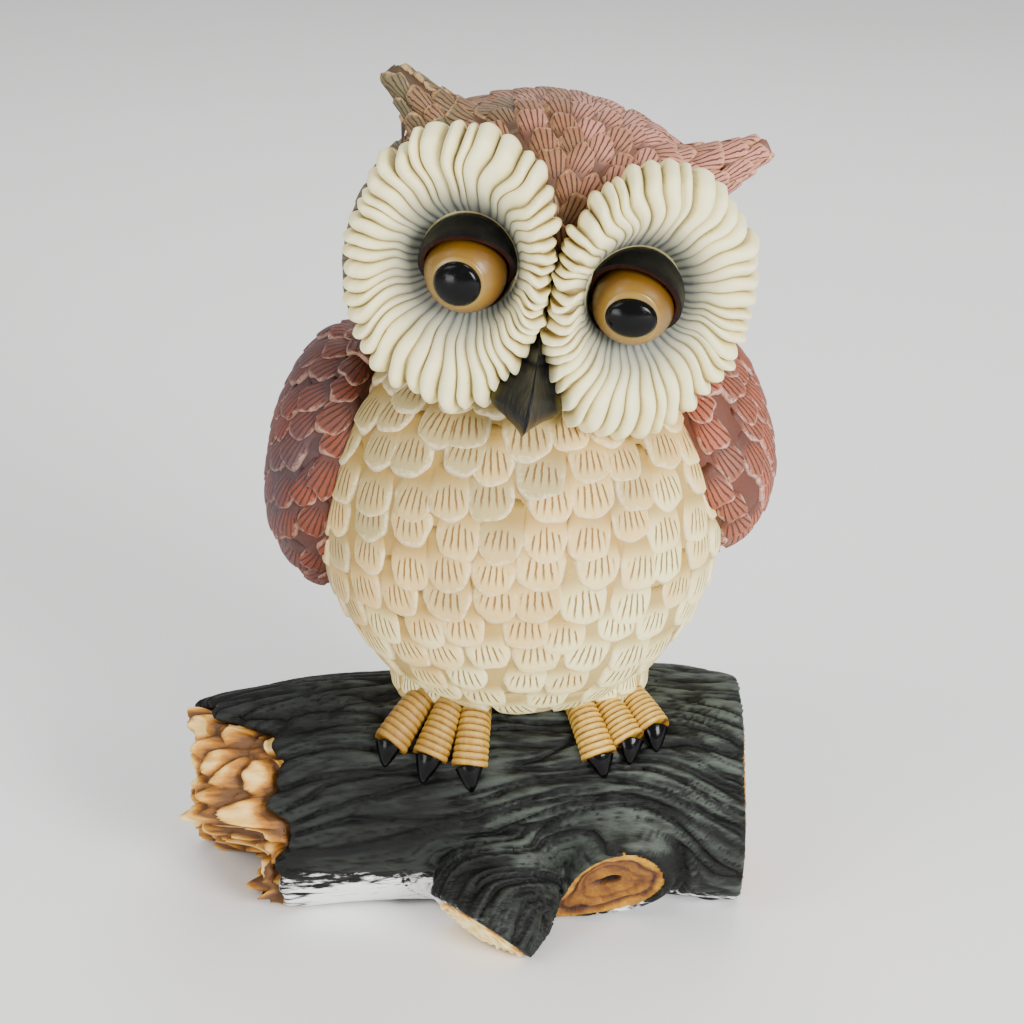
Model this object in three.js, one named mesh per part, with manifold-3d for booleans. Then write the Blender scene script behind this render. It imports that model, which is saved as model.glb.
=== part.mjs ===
// Owl figurine on a log: a hand-painted cast-resin statue, glued up from separate castings.
// Millimetres, +Z up. The owl looks along -Y and stands on z = 0 with the origin under the middle
// of its bounding box. "left" and "right" are the viewer's, facing the owl: left is -X.

import * as THREE from 'three';
import { mergeVertices } from 'three/addons/utils/BufferGeometryUtils.js';
import Module from 'manifold-3d';

const wasm = await Module();
wasm.setup();

// ---------------------------------------------------------------- driving dimensions

const GLUE = 0.5; // gap left round a piece that is let into its neighbour
const DEG = Math.PI / 180;
const { smoothstep } = THREE.MathUtils;
const UP = new THREE.Vector3(0, 0, 1);

const PAD = { radius: 8, thick: 1.5, front: -17, back: 17, left: -82, right: 83 };
const LOG = {
  left: -93, // bark edge at the front
  tongue: 40, // how far the bark runs on past that edge along the crown
  right: 94,
  splinters: -128, // where the longest splinters end
  step: 28, // how far the splinters step back below and in front
  radius: 48,
  wall: 9,
  coreRoot: -80, // how deep the pale core is let into the bark shell
  crown: 43.5, // height of the log's axis under the owl
  floor: PAD.thick + 0.3,
};
const PLATE = { x: 8, length: 136, width: 30, thick: 4 };
const STUB = {
  foot: [-12, -60, 8],
  along: [-0.3, -0.78, -0.55],
  cut: [-0.53, -0.5, -0.68],
  radius: 21,
  root: 27,
  length: 46,
  face: 3,
  bark: 3,
};
const KNOT = {
  centre: [38.5, -50, 20],
  normal: [0.03, -0.9, -0.42],
  radius: 22,
  collar: 27,
  depth: 7,
  hole: 5,
};

const BODY = { centre: [3, 0, 164], radii: [80.5, 72, 82], wall: 8, seam: 16 };
const HEAD = { centre: [11.5, -8, 265.5], radii: [76, 58, 70], wall: 8, roll: 11.6, pitch: 3 };
const FACE = { y: -45, z: 11, eyeGap: 62, yaw: 17, petals: 46 };
const DISC = { hole: 19, outer: 46, inner: 32.5, above: 52.5, below: 53, power: 2.25 };
const EYE = {
  radius: 15.2,
  lid: 18,
  lidLift: 3,
  lidCut: 56,
  lidTiltLeft: 0,
  lidTiltRight: 21,
  pupil: 8.8,
  pupilRise: 1,
  seat: 10.5,
  gazeLeft: [-0.225, -1, -0.115],
  gazeRight: [-0.085, -1, -0.115],
};
const BEAK = { top: -17, tip: -53, half: 12.8, ridge: -76 };
const WING = {
  thick: 29,
  breadth: 46,
  half: 60,
  rightShare: 0.88,
  lean: 6,
  trail: 24,
  apart: 73,
  y: 18,
  zLeft: 176,
  zRight: 185.5,
};
const TAIL = { y: 56, z: 138, thick: 13, tilt: 24 };
const TOE_ROOM = 2; // gap left between a toe and its thigh
const THIGH = { apart: 33, y: -4, z: 98, radii: [20, 21, 20.3] };
const TUFT = { foot: [35, -6, 29.5], along: [0.8, -0.02, 0.6], length: 47, root: 20, tip: 3.2 };
const TOE = { root: 4.4, end: 6, rise: 7.4, claw: 4.4 };
const PIN = { radius: 3, length: 48, x: 27, y: -12, foot: 64 };
const DOWEL = { radius: 9, length: 44, x: 3, y: -4, foot: 173 };

// Each toe runs over the log from its root to its blunt end: x and the angle above the horizon.
const TOES = {
  toe_left_outer: { root: [-33, 74], end: [-49, 46], talon: [-51, 36] },
  toe_left_middle: { root: [-23, 68], end: [-33, 39], talon: [-36, 27] },
  toe_left_inner: { root: [-14, 66], end: [-17, 34], talon: [-16, 22] },
  toe_right_inner: { root: [27, 68], end: [35, 39], talon: [37, 29] },
  toe_right_middle: { root: [36, 72], end: [47, 47], talon: [47, 36] },
  toe_right_outer: { root: [46, 78], end: [57, 54], talon: [58, 43] },
};

// ---------------------------------------------------------------- shaping and joining

/** Moves every vertex of a geometry by a function that changes the point it is given. */
function reshape(geometry, move) {
  const position = geometry.getAttribute('position');
  const point = new THREE.Vector3();
  for (let i = 0; i < position.count; i += 1) {
    point.fromBufferAttribute(position, i);
    move(point);
    position.setXYZ(i, point.x, point.y, point.z);
  }
  return geometry;
}

/** The geometry with shared vertices merged and no attribute but its positions. */
function welded(geometry) {
  const bare = geometry.index ? geometry.toNonIndexed() : geometry.clone();
  bare.deleteAttribute('normal');
  bare.deleteAttribute('uv');
  return mergeVertices(bare, 1e-3);
}

function solidOf(geometry) {
  const closed = welded(geometry);
  return new wasm.Manifold(
    new wasm.Mesh({
      numProp: 3,
      vertProperties: closed.attributes.position.array,
      triVerts: new Uint32Array(closed.index.array),
    }),
  );
}

function geometryOf(solid) {
  const mesh = solid.getMesh();
  const geometry = new THREE.BufferGeometry();
  geometry.setAttribute('position', new THREE.BufferAttribute(mesh.vertProperties, 3));
  geometry.setIndex(new THREE.BufferAttribute(mesh.triVerts, 1));
  geometry.computeVertexNormals();
  return geometry;
}

/** The geometry swollen by the glue gap, to be cut out of a neighbour. */
function swollen(geometry, gap = GLUE) {
  const closed = welded(geometry);
  closed.computeVertexNormals();
  const normal = closed.getAttribute('normal');
  const position = closed.getAttribute('position');
  for (let i = 0; i < position.count; i += 1) {
    position.setXYZ(
      i,
      position.getX(i) + gap * normal.getX(i),
      position.getY(i) + gap * normal.getY(i),
      position.getZ(i) + gap * normal.getZ(i),
    );
  }
  return closed;
}

/** Turns a geometry inside out, as a mirrored one needs. */
function flipped(geometry) {
  const turned = welded(geometry);
  const index = turned.index.array;
  for (let i = 0; i < index.length; i += 3) [index[i + 1], index[i + 2]] = [index[i + 2], index[i + 1]];
  return turned;
}

/** What is left of a geometry after the cutters are taken away: its largest body. */
function cut(geometry, ...cutters) {
  let solid = solidOf(geometry);
  for (const cutter of cutters) solid = solid.subtract(solidOf(cutter));
  const bodies = solid.decompose();
  return geometryOf(bodies.reduce((most, body) => (body.volume() > most.volume() ? body : most)));
}

function joined(...geometries) {
  return geometryOf(geometries.map(solidOf).reduce((sum, solid) => sum.add(solid)));
}

function common(a, b) {
  return geometryOf(solidOf(a).intersect(solidOf(b)));
}

function ellipsoid([x, y, z], [rx, ry, rz], across = 40, down = 26) {
  const ball = new THREE.SphereGeometry(1, across, down).rotateX(90 * DEG);
  return ball.scale(rx, ry, rz).translate(x, y, z);
}

/** A block filling one side of the plane through a point, on the side its normal points to. */
function beyond(point, normal, size = 1200) {
  const turn = new THREE.Quaternion().setFromUnitVectors(UP, new THREE.Vector3(...normal).normalize());
  const block = new THREE.BoxGeometry(size, size, size).translate(0, 0, size / 2);
  return block.applyQuaternion(turn).translate(...point);
}

/** A geometry built along +Z, turned to run along a direction and moved to a point. */
function along(geometry, point, direction) {
  const turn = new THREE.Quaternion().setFromUnitVectors(UP, new THREE.Vector3(...direction).normalize());
  return geometry.applyQuaternion(turn).translate(...point);
}

/** A closed frustum from z = 0 to z = length. */
function frustum(start, end, length, sides = 24) {
  const form = new THREE.CylinderGeometry(end, start, length, sides, 1);
  return form.rotateX(90 * DEG).translate(0, 0, length / 2);
}

/** A lathed barrel of unit radius along X from 0 to 1, with ringed end caps. */
function barrel(segments, rings, capRings = 1) {
  const profile = [];
  for (let i = 0; i < capRings; i += 1) profile.push(new THREE.Vector2(i / capRings, 0));
  for (let i = 0; i <= rings; i += 1) profile.push(new THREE.Vector2(1, i / rings));
  for (let i = capRings - 1; i >= 0; i -= 1) profile.push(new THREE.Vector2(i / capRings, 1));
  return new THREE.LatheGeometry(profile, segments).rotateZ(-90 * DEG);
}

// ---------------------------------------------------------------- finishes

function paint(color, roughness, metalness = 0) {
  return new THREE.MeshStandardMaterial({ color, roughness, metalness });
}

const FINISH = {
  bark: paint(0x2c312f, 0.55),
  splinter: paint(0xc89a5e, 0.75),
  cutWood: paint(0xe2bd7e, 0.7),
  cream: paint(0xd9c79c, 0.6),
  brown: paint(0x8a6355, 0.6),
  ivory: paint(0xe6dfbe, 0.6),
  amber: paint(0xc99c4e, 0.35),
  black: paint(0x17171b, 0.2),
  lid: paint(0x1d1d21, 0.4),
  beak: paint(0x25262b, 0.3),
  toe: paint(0xd7bd85, 0.6),
  resin: paint(0xd8d2c4, 0.8),
  felt: paint(0x151515, 0.95),
  steel: paint(0xb8bcc0, 0.3, 1),
};

function piece(name, geometry, material) {
  const mesh = new THREE.Mesh(geometry, material);
  mesh.name = name;
  return mesh;
}

// ---------------------------------------------------------------- log

/** Height of the log's axis: it arches, and rests on its two ends. */
function axisHeight(x) {
  return LOG.crown - (x < 0 ? 10.5 * (x / 110) ** 2 : 5 * (x / 96) ** 2);
}

/** Log radius at a place along it and an angle round it, with the broad swells of the trunk. */
function trunkRadius(x, angle) {
  const swell = 1.2 * Math.sin(3 * angle + x * 0.03) + 0.8 * Math.sin(5 * angle - x * 0.05);
  return LOG.radius - 1.5 * (x / 100) ** 2 + swell;
}

/** Where the bark ends on the broken side, by the angle round the log: a tongue runs on along the crown. */
function barkEdge(angle) {
  const turn = (angle < -Math.PI / 2 ? angle + 2 * Math.PI : angle) / DEG; // 0 in front, 90 on the crown
  const tongue = smoothstep(turn, 40, 118) * (1 - smoothstep(turn, 150, 230));
  const jag = 3 * Math.sin(7 * angle + 1) + 2 * Math.sin(12 * angle);
  return LOG.left - LOG.tongue * tongue + jag;
}

/** Bends a unit barrel into a stretch of the log, inset from the bark, cut flat at the given height. */
function logForm({ inset = 0, from, to, floor = LOG.floor, segments = 28, rings = 10, capRings = 1 }) {
  return reshape(barrel(segments, rings, capRings), (p) => {
    const angle = Math.atan2(p.z, -p.y);
    const reach = Math.hypot(p.y, p.z);
    const start = from(angle, reach);
    const x = start + (to - start) * p.x;
    const radius = (trunkRadius(x, angle) - inset) * reach;
    p.set(x, -radius * Math.cos(angle), Math.max(floor, axisHeight(x) + radius * Math.sin(angle)));
  });
}

/** The broken end of the core: splinters of different lengths, stepping back below and in front. */
function splinterEnd(angle, reach) {
  const slab = (4 * Math.sin(9 * angle + 2 * reach) + 3 * Math.cos(5 * angle - 6 * reach)) * reach;
  const step = smoothstep(reach * (0.9 * Math.cos(angle) - Math.sin(angle)), 0.25, 0.7);
  return LOG.splinters + LOG.step * step + slab;
}

/** The side branch, running out of the trunk to beyond its sawn end. */
function branchForm(root, radius, sides) {
  const form = frustum(root, radius, STUB.length + 30, sides).translate(0, 0, -STUB.length);
  return along(form, STUB.foot, STUB.along);
}

/** The space beyond a plane a given depth back from the branch's sawn face. */
function beyondSaw(depth) {
  const point = new THREE.Vector3(...STUB.cut).normalize().multiplyScalar(-depth);
  return beyond(point.add(new THREE.Vector3(...STUB.foot)).toArray(), STUB.cut);
}

/** A disc in the plane of the knot, from one depth below its face to a height above it. */
function knotDisc(radius, top, below, above, sides) {
  const form = frustum(radius, top, below + above, sides).translate(0, 0, -below);
  return along(form, KNOT.centre, KNOT.normal);
}

function buildLog(pins) {
  const group = new THREE.Group();
  const underfoot = beyond([0, 0, LOG.floor], [0, 0, -1]);
  const branch = cut(branchForm(STUB.root, STUB.radius, 18), beyondSaw(0), underfoot);
  const collar = cut(knotDisc(KNOT.collar + 4, KNOT.collar, 22, 2, 18), underfoot);
  const trunk = logForm({ from: barkEdge, to: LOG.right });

  const core = cut(
    logForm({ inset: 4.5, from: splinterEnd, to: LOG.coreRoot, segments: 20, rings: 2, capRings: 3 }),
    underfoot,
  );
  const knot = knotDisc(KNOT.radius, KNOT.radius, KNOT.depth - 2, 2, 24);
  const heartHole = knotDisc(KNOT.hole - 2, KNOT.hole, 5, 3, 10);
  const heartwood = branchForm(STUB.radius - STUB.bark, STUB.radius - STUB.bark, 20);
  const sawnFace = cut(common(heartwood, beyondSaw(STUB.face)), beyondSaw(0), underfoot);

  const hollow = logForm({
    inset: LOG.wall,
    from: () => LOG.coreRoot + LOG.wall,
    to: LOG.right - LOG.wall,
    floor: LOG.floor + LOG.wall,
    segments: 14,
    rings: 2,
  });
  const mouth = new THREE.BoxGeometry(PLATE.length, PLATE.width, 4 * LOG.wall).translate(PLATE.x, 0, 0);
  const plate = new THREE.BoxGeometry(PLATE.length - 2 * GLUE, PLATE.width - 2 * GLUE, PLATE.thick);
  const shell = cut(
    joined(trunk, branch, collar),
    hollow,
    mouth,
    swollen(core),
    swollen(knot),
    common(swollen(heartwood), beyondSaw(STUB.face + GLUE)),
    ...pins.map((pin) => swollen(pin)),
  );

  group.add(piece('log_shell', shell, FINISH.bark));
  group.add(piece('splintered_core', core, FINISH.splinter));
  group.add(piece('knot_wood', cut(knot, heartHole, underfoot), FINISH.cutWood));
  group.add(piece('branch_cut_face', sawnFace, FINISH.cutWood));
  group.add(piece('base_plate', plate.translate(PLATE.x, 0, LOG.floor + PLATE.thick / 2), FINISH.resin));
  for (const side of ['left', 'right']) {
    for (const end of ['front', 'back']) {
      const pad = new THREE.CylinderGeometry(PAD.radius, PAD.radius, PAD.thick, 20).rotateX(90 * DEG);
      const mesh = piece(`felt_pad_${end}_${side}`, pad, FINISH.felt);
      mesh.position.set(PAD[side], PAD[end], PAD.thick / 2);
      group.add(mesh);
    }
  }
  return { group, trunk };
}

// ---------------------------------------------------------------- head

/** Distance from the eye to the disc's rim: 0 degrees is outwards, 90 up, 180 towards the beak. */
function discRim(angle) {
  const across = Math.cos(angle) > 0 ? DISC.outer : DISC.inner;
  const tall = Math.sin(angle) > 0 ? DISC.above : DISC.below;
  const wide = Math.abs(Math.cos(angle) / across) ** DISC.power;
  const sum = wide + Math.abs(Math.sin(angle) / tall) ** DISC.power;
  return sum ** (-1 / DISC.power);
}

/**
 * A facial disc round an eye, for the side (-1 left, 1 right): a ring with a round hole for the eye
 * and a ruffled front. Its profile is [how far from the hole to the rim, depth behind the face].
 */
function faceDisc(side) {
  const front = [[0, 2], [0.12, -2], [0.42, -7], [0.75, -7.5], [1, 0]];
  const profile = [...front, [0.6, 9], [0, 11], front[0]];
  const points = profile.map(([reach, depth]) => new THREE.Vector2(reach + 1, -depth)).reverse();
  return discForm(side, new THREE.LatheGeometry(points, 2 * FACE.petals), FACE.petals);
}

/** The pocket a disc and its eye are set in: the disc without its ruffle or its hole. */
function discPocket(side) {
  const profile = [[0, 16], [1, 14], [1.6, 9.6], [2.04, 0.4], [1.8, -9], [0, -9]];
  const points = profile.map(([reach, depth]) => new THREE.Vector2(reach, -depth));
  return discForm(side, new THREE.LatheGeometry(points, 28), 0);
}

/** Spreads a lathed disc, whose hole ends at radius 1 and rim at radius 2, to its real outline. */
function discForm(side, lathe, petals) {
  reshape(lathe, (p) => {
    const reach = Math.hypot(p.x, p.z);
    const angle = Math.atan2(-p.z, p.x);
    const rim = discRim(angle);
    const hole = DISC.hole + EYE.lidLift * Math.sin(angle);
    const spread = reach < 1 ? reach * hole : hole + (rim - hole) * (reach - 1);
    const ruffle = petals > 0 && p.y > -1.9 ? Math.cos(petals * angle) * smoothstep(reach, 1, 1.3) : 0;
    const radius = spread * (1 + 0.03 * ruffle * smoothstep(reach, 1.8, 2));
    p.set(side * radius * Math.cos(angle), -p.y - 1.1 * ruffle, radius * Math.sin(angle));
  });
  lathe.rotateZ(side * FACE.yaw * DEG).translate((side * FACE.eyeGap) / 2, FACE.y, FACE.z);
  return side < 0 ? flipped(lathe) : lathe;
}

/** A kite-shaped beak with a ridge down its middle, widest two thirds of the way down. */
function beakForm() {
  const form = new THREE.SphereGeometry(1, 14, 10).rotateX(90 * DEG);
  const middle = (BEAK.top + BEAK.tip) / 2;
  const half = (BEAK.top - BEAK.tip) / 2;
  return reshape(form, (p) => {
    const down = (1 - p.z) / 2; // 0 at the brow, 1 at the tip
    const breadth = BEAK.half * (0.62 + 0.62 * down - 0.75 * smoothstep(down, 0.62, 1));
    const jut = (BEAK.ridge - FACE.y) * (0.55 + 0.45 * smoothstep(down, 0, 0.6));
    const ridge = 1 - 0.45 * Math.abs(p.x);
    const depth = p.y < 0 ? -p.y * ridge * jut : p.y * 6;
    p.set(p.x * breadth, FACE.y + 2 + depth, FACE.z + middle + p.z * half);
  });
}

/** A tuft standing off a top corner of the head, wide at its root and hollow-backed towards its tip. */
function tuftForm(side) {
  const rings = 4;
  const cone = new THREE.CylinderGeometry(1, 1, TUFT.length, 14, rings).rotateX(90 * DEG);
  reshape(cone, (p) => {
    const t = p.z / TUFT.length + 0.5;
    const radius = TUFT.tip + (TUFT.root - TUFT.tip) * (1 - t) ** 1.35;
    p.set(p.x * radius, p.y * radius * 0.85, p.z + TUFT.length / 2);
  });
  const tuft = along(cone, [0, 0, 0], TUFT.along);
  tuft.translate(TUFT.foot[0], TUFT.foot[1], FACE.z + TUFT.foot[2]);
  return side > 0 ? tuft : flipped(tuft.scale(-1, 1, 1));
}

/** A ball with a round seat cut in its front for the pupil, looking along the gaze. */
function eyeballForm(eye, gaze) {
  const seat = EYE.pupil + GLUE;
  const brim = Math.asin(seat / EYE.radius);
  const profile = [new THREE.Vector2(0, EYE.seat), new THREE.Vector2(seat, EYE.seat)];
  const steps = 8;
  for (let i = 0; i <= steps; i += 1) {
    const angle = brim + ((Math.PI - brim) * i) / steps;
    profile.push(new THREE.Vector2(EYE.radius * Math.sin(angle), EYE.radius * Math.cos(angle)));
  }
  profile[profile.length - 1].x = 0;
  return along(new THREE.LatheGeometry(profile.reverse(), 20).rotateX(90 * DEG), eye, gaze);
}

/** A domed lens that sits in the eyeball's seat and stands a little proud of it. */
function pupilForm(eye, gaze) {
  const dome = EYE.radius + EYE.pupilRise;
  const profile = [new THREE.Vector2(0, EYE.seat + GLUE)];
  for (const part of [1, 0.8, 0.4, 0]) {
    const reach = EYE.pupil * part;
    if (part === 1) profile.push(new THREE.Vector2(reach, EYE.seat + GLUE));
    profile.push(new THREE.Vector2(reach, Math.sqrt(dome ** 2 - reach ** 2)));
  }
  return along(new THREE.LatheGeometry(profile, 20).rotateX(90 * DEG), eye, gaze);
}

/** A hooded lid over the top of the eyeball, its edge tilted down towards the outer corner. */
function lidForm(eye, tilt) {
  const edge = new THREE.Vector3(0, -Math.sin(EYE.lidCut * DEG), -Math.cos(EYE.lidCut * DEG));
  edge.applyAxisAngle(new THREE.Vector3(0, 1, 0), tilt * DEG);
  return cut(
    ellipsoid([eye[0], eye[1], eye[2] + EYE.lidLift], Array(3).fill(EYE.lid), 18, 12),
    ellipsoid(eye, Array(3).fill(EYE.radius + GLUE), 16, 12),
    beyond(eye, edge.toArray()),
    beyond([0, FACE.y + 4, 0], [0, 1, 0]),
  );
}

/** The head without its face: round behind, flattened in front. */
function skullForm(across, down) {
  return reshape(ellipsoid([0, 0, 0], [1, 1, 1], across, down), (p) => {
    const depth = p.y < 0 ? -0.82 * Math.abs(p.y) ** 0.8 : p.y;
    p.set(p.x * HEAD.radii[0], depth * HEAD.radii[1], p.z * HEAD.radii[2]);
  });
}

function buildHead(dowel) {
  const group = new THREE.Group();
  group.position.set(...HEAD.centre);
  group.rotation.set(HEAD.pitch * DEG, HEAD.roll * DEG, 0, 'XYZ');
  const skull = skullForm(26, 18);
  const beak = beakForm();
  const pockets = [swollen(beak)];
  const outline = [skull, beak];
  const parts = [['beak', beak, FINISH.beak]];

  for (const [side, word] of [[-1, 'left'], [1, 'right']]) {
    const eye = [(side * FACE.eyeGap) / 2, FACE.y - 1, FACE.z];
    const gaze = side < 0 ? EYE.gazeLeft : EYE.gazeRight;
    const pocket = discPocket(side);
    const disc = cut(faceDisc(side), swollen(beak), beyond([side * GLUE, 0, 0], [-side, 0, 0]));
    const tuft = tuftForm(side);
    pockets.push(pocket);
    outline.push(pocket, tuft);
    parts.push([`face_disc_${word}`, disc, FINISH.ivory]);
    parts.push([`eyeball_${word}`, eyeballForm(eye, gaze), FINISH.amber]);
    parts.push([`pupil_${word}`, pupilForm(eye, gaze), FINISH.black]);
    parts.push([`eyelid_${word}`, lidForm(eye, side < 0 ? EYE.lidTiltLeft : EYE.lidTiltRight), FINISH.lid]);
    parts.push([`ear_tuft_${word}`, cut(tuft, swollen(skull), pocket), FINISH.brown]);
  }

  const [rx, ry, rz] = HEAD.radii.map((r) => r - HEAD.wall);
  const cavity = ellipsoid([0, 6, 0], [rx, ry - 12, rz], 16, 12);
  group.updateMatrixWorld(true);
  const dowelHole = swollen(dowel).applyMatrix4(group.matrixWorld.clone().invert());
  parts.unshift(['head_shell', cut(skull, cavity, dowelHole, ...pockets), FINISH.brown]);
  for (const [name, geometry, finish] of parts) group.add(piece(name, geometry, finish));
  const seat = swollen(skullForm(14, 10), BODY.wall).applyMatrix4(group.matrixWorld);
  const placed = outline.map((geometry) => swollen(geometry).applyMatrix4(group.matrixWorld));
  return { group, seat, outline: placed };
}

// ---------------------------------------------------------------- body, wings, tail, legs and feet

/** A folded wing hugging the body: rounded at the shoulder, drawn to a tip that trails down and back. */
function wingForm(side) {
  const form = new THREE.SphereGeometry(1, 20, 14).rotateX(90 * DEG);
  reshape(form, (p) => {
    const low = Math.max(0, -p.z);
    const taper = 1 - 0.35 * low ** 2;
    const lean = WING.lean * p.z;
    const back = p.y * WING.breadth * taper + WING.trail * low ** 2;
    p.set(p.x * WING.thick * taper + lean, back, p.z * WING.half);
  });
  form.scale(1, 1, side < 0 ? 1 : WING.rightShare).translate(-WING.apart, WING.y, 0);
  if (side > 0) form.scale(-1, 1, 1);
  form.translate(BODY.centre[0], 0, side < 0 ? WING.zLeft : WING.zRight);
  return side < 0 ? form : flipped(form);
}

function tailForm() {
  const outline = new THREE.Shape();
  outline.moveTo(-22, 0);
  outline.lineTo(-29, -62);
  outline.quadraticCurveTo(-24, -76, -15, -77);
  outline.quadraticCurveTo(0, -88, 15, -77);
  outline.quadraticCurveTo(24, -76, 29, -62);
  outline.lineTo(22, 0);
  outline.closePath();
  const stock = { depth: TAIL.thick, bevelEnabled: false, curveSegments: 8 };
  const slab = new THREE.ExtrudeGeometry(outline, stock);
  slab.rotateX(90 * DEG).rotateX(TAIL.tilt * DEG);
  return slab.translate(BODY.centre[0], TAIL.y, TAIL.z);
}

/** A point over the log at a place along it, an angle above the horizon and a height off the bark. */
function overLog(x, degrees, height) {
  const angle = degrees * DEG;
  const radius = trunkRadius(x, angle) + height;
  return new THREE.Vector3(x, -radius * Math.cos(angle), axisHeight(x) + radius * Math.sin(angle));
}

/**
 * Lays a barrel of unit radius and height along a line over the log, flat side down.
 * The line goes from one [x, angle] to another; width and height follow how far along it is.
 */
function laidOverLog(barrelForm, from, to, width, height) {
  const run = [to[0] - from[0], ((to[1] - from[1]) * DEG * LOG.radius)];
  const length = Math.hypot(...run);
  return reshape(barrelForm, (p) => {
    const t = p.y + 0.5;
    const sideways = p.x * width(t);
    const x = from[0] + run[0] * t + (sideways * run[1]) / length;
    const degrees = from[1] + (to[1] - from[1]) * t - (sideways * run[0]) / length / LOG.radius / DEG;
    p.copy(overLog(x, degrees, 2 * GLUE + (Math.max(p.z, -0.4) + 0.4) * height(t)));
  });
}

/** A toe over the bark, thicker towards its blunt end. */
function toeForm({ root, end }) {
  const section = new THREE.CylinderGeometry(1, 1, 1, 10, 4);
  return laidOverLog(section, root, end, (t) => TOE.root + (TOE.end - TOE.root) * t, () => TOE.rise);
}

/** A hooked talon from the toe's blunt end down to a point near the bark. */
function talonForm({ end, talon }) {
  const section = new THREE.CylinderGeometry(1, 1, 1, 8, 3);
  const shrink = (t) => TOE.claw * (1 - t) ** 0.8 + 0.5;
  return laidOverLog(section, end, talon, shrink, (t) => shrink(t) * 1.1 + 2.4 * t * (1 - t));
}

function buildOwl(log, head, dowel, pins) {
  const group = new THREE.Group();
  const body = ellipsoid(BODY.centre, BODY.radii, 30, 20);
  const cavity = cut(ellipsoid(BODY.centre, BODY.radii.map((r) => r - BODY.wall), 16, 10), head.seat);
  const trunk = swollen(log.trunk);
  const pinHoles = pins.map((pin) => swollen(pin));

  const bodyCut = cut(body, cavity, ...head.outline, trunk, swollen(dowel), ...pinHoles);
  const breast = cut(bodyCut, beyond([0, BODY.seam, 0], [0, 1, 0]));
  const back = cut(bodyCut, beyond([0, BODY.seam + GLUE, 0], [0, -1, 0]));
  group.add(piece('breast_shell', breast, FINISH.cream));
  group.add(piece('back_shell', back, FINISH.brown));
  group.add(piece('neck_dowel', dowel, FINISH.resin));

  const around = swollen(body);
  const tail = cut(tailForm(), around, trunk);
  group.add(piece('tail', tail, FINISH.brown));
  for (const [side, word] of [[-1, 'left'], [1, 'right']]) {
    const wing = cut(wingForm(side), around, ...head.outline, swollen(tail), trunk);
    group.add(piece(`wing_${word}`, wing, FINISH.brown));
  }

  const taken = [];
  for (const [name, run] of Object.entries(TOES)) {
    const toe = cut(toeForm(run), around);
    const talon = cut(talonForm(run), swollen(toe));
    taken.push(swollen(toe, TOE_ROOM));
    group.add(piece(name, toe, FINISH.toe));
    group.add(piece(name.replace('toe', 'talon'), talon, FINISH.black));
  }
  [-1, 1].forEach((side, i) => {
    const word = side < 0 ? 'left' : 'right';
    const hip = [BODY.centre[0] + side * THIGH.apart, THIGH.y, THIGH.z];
    const thigh = ellipsoid(hip, THIGH.radii, 14, 10);
    group.add(piece(`thigh_${word}`, cut(thigh, around, trunk, ...taken, pinHoles[i]), FINISH.cream));
    group.add(piece(`leg_pin_${word}`, pins[i], FINISH.steel));
  });
  return group;
}

// ---------------------------------------------------------------- whole

const legPins = [-1, 1].map((side) => {
  const pin = frustum(PIN.radius, PIN.radius, PIN.length, 14);
  return pin.translate(BODY.centre[0] + side * PIN.x, PIN.y, PIN.foot);
});
const neckDowel = frustum(DOWEL.radius, DOWEL.radius, DOWEL.length, 20);
neckDowel.translate(DOWEL.x, DOWEL.y, DOWEL.foot);
const log = buildLog(legPins);
const head = buildHead(neckDowel);
const statue = new THREE.Group();
statue.add(log.group, buildOwl(log, head, neckDowel, legPins), head.group);

const bounds = new THREE.Box3().setFromObject(statue);
const middle = bounds.getCenter(new THREE.Vector3());
statue.position.set(-middle.x, -middle.y, 0);

const figurine = new THREE.Group();
figurine.add(statue);

export default figurine;
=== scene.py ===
"""Looks of the owl figurine on a log: a hand-painted cast-resin statue.

Shapes are worked out in the statue's own millimetres (x to the viewer's right, y away from the
viewer, z up, with x = y = 0 between the felt pads) and are written to the meshes in metres.
"""

from __future__ import annotations

import logging
import math
from dataclasses import dataclass, field
from enum import Enum
from typing import Callable

import bpy
import numpy as np
from mathutils import Matrix, Vector, noise
from mathutils.bvhtree import BVHTree

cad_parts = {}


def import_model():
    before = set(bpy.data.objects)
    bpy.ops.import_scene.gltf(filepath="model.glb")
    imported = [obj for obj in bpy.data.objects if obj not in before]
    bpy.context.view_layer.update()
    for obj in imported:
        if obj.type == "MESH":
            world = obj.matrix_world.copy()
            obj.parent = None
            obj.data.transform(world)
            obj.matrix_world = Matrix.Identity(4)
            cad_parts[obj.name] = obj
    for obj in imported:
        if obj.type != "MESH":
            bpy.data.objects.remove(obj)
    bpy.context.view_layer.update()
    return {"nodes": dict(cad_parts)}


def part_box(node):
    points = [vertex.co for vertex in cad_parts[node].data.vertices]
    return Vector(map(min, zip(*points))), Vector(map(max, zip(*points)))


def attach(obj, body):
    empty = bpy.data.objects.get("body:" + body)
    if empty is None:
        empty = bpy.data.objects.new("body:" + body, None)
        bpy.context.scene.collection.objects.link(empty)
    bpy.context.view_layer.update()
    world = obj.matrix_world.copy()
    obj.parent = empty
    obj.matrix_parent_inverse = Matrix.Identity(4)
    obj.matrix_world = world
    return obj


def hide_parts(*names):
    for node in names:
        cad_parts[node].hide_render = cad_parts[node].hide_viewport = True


MM = 0.001
RICHNESS = 1.45  # how much more saturated paints are mixed than they are meant to look
LOGGER = logging.getLogger("figurine")
Array = np.ndarray
Colour = tuple[float, float, float]
Stops = tuple[tuple[float, Colour], ...]
Faces = list[tuple[int, ...]]


class Side(Enum):
    """The viewer's left or right, facing the owl."""

    LEFT = -1
    RIGHT = 1

    @property
    def word(self) -> str:
        """The side as it stands in a piece's name."""
        return self.name.lower()


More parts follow.
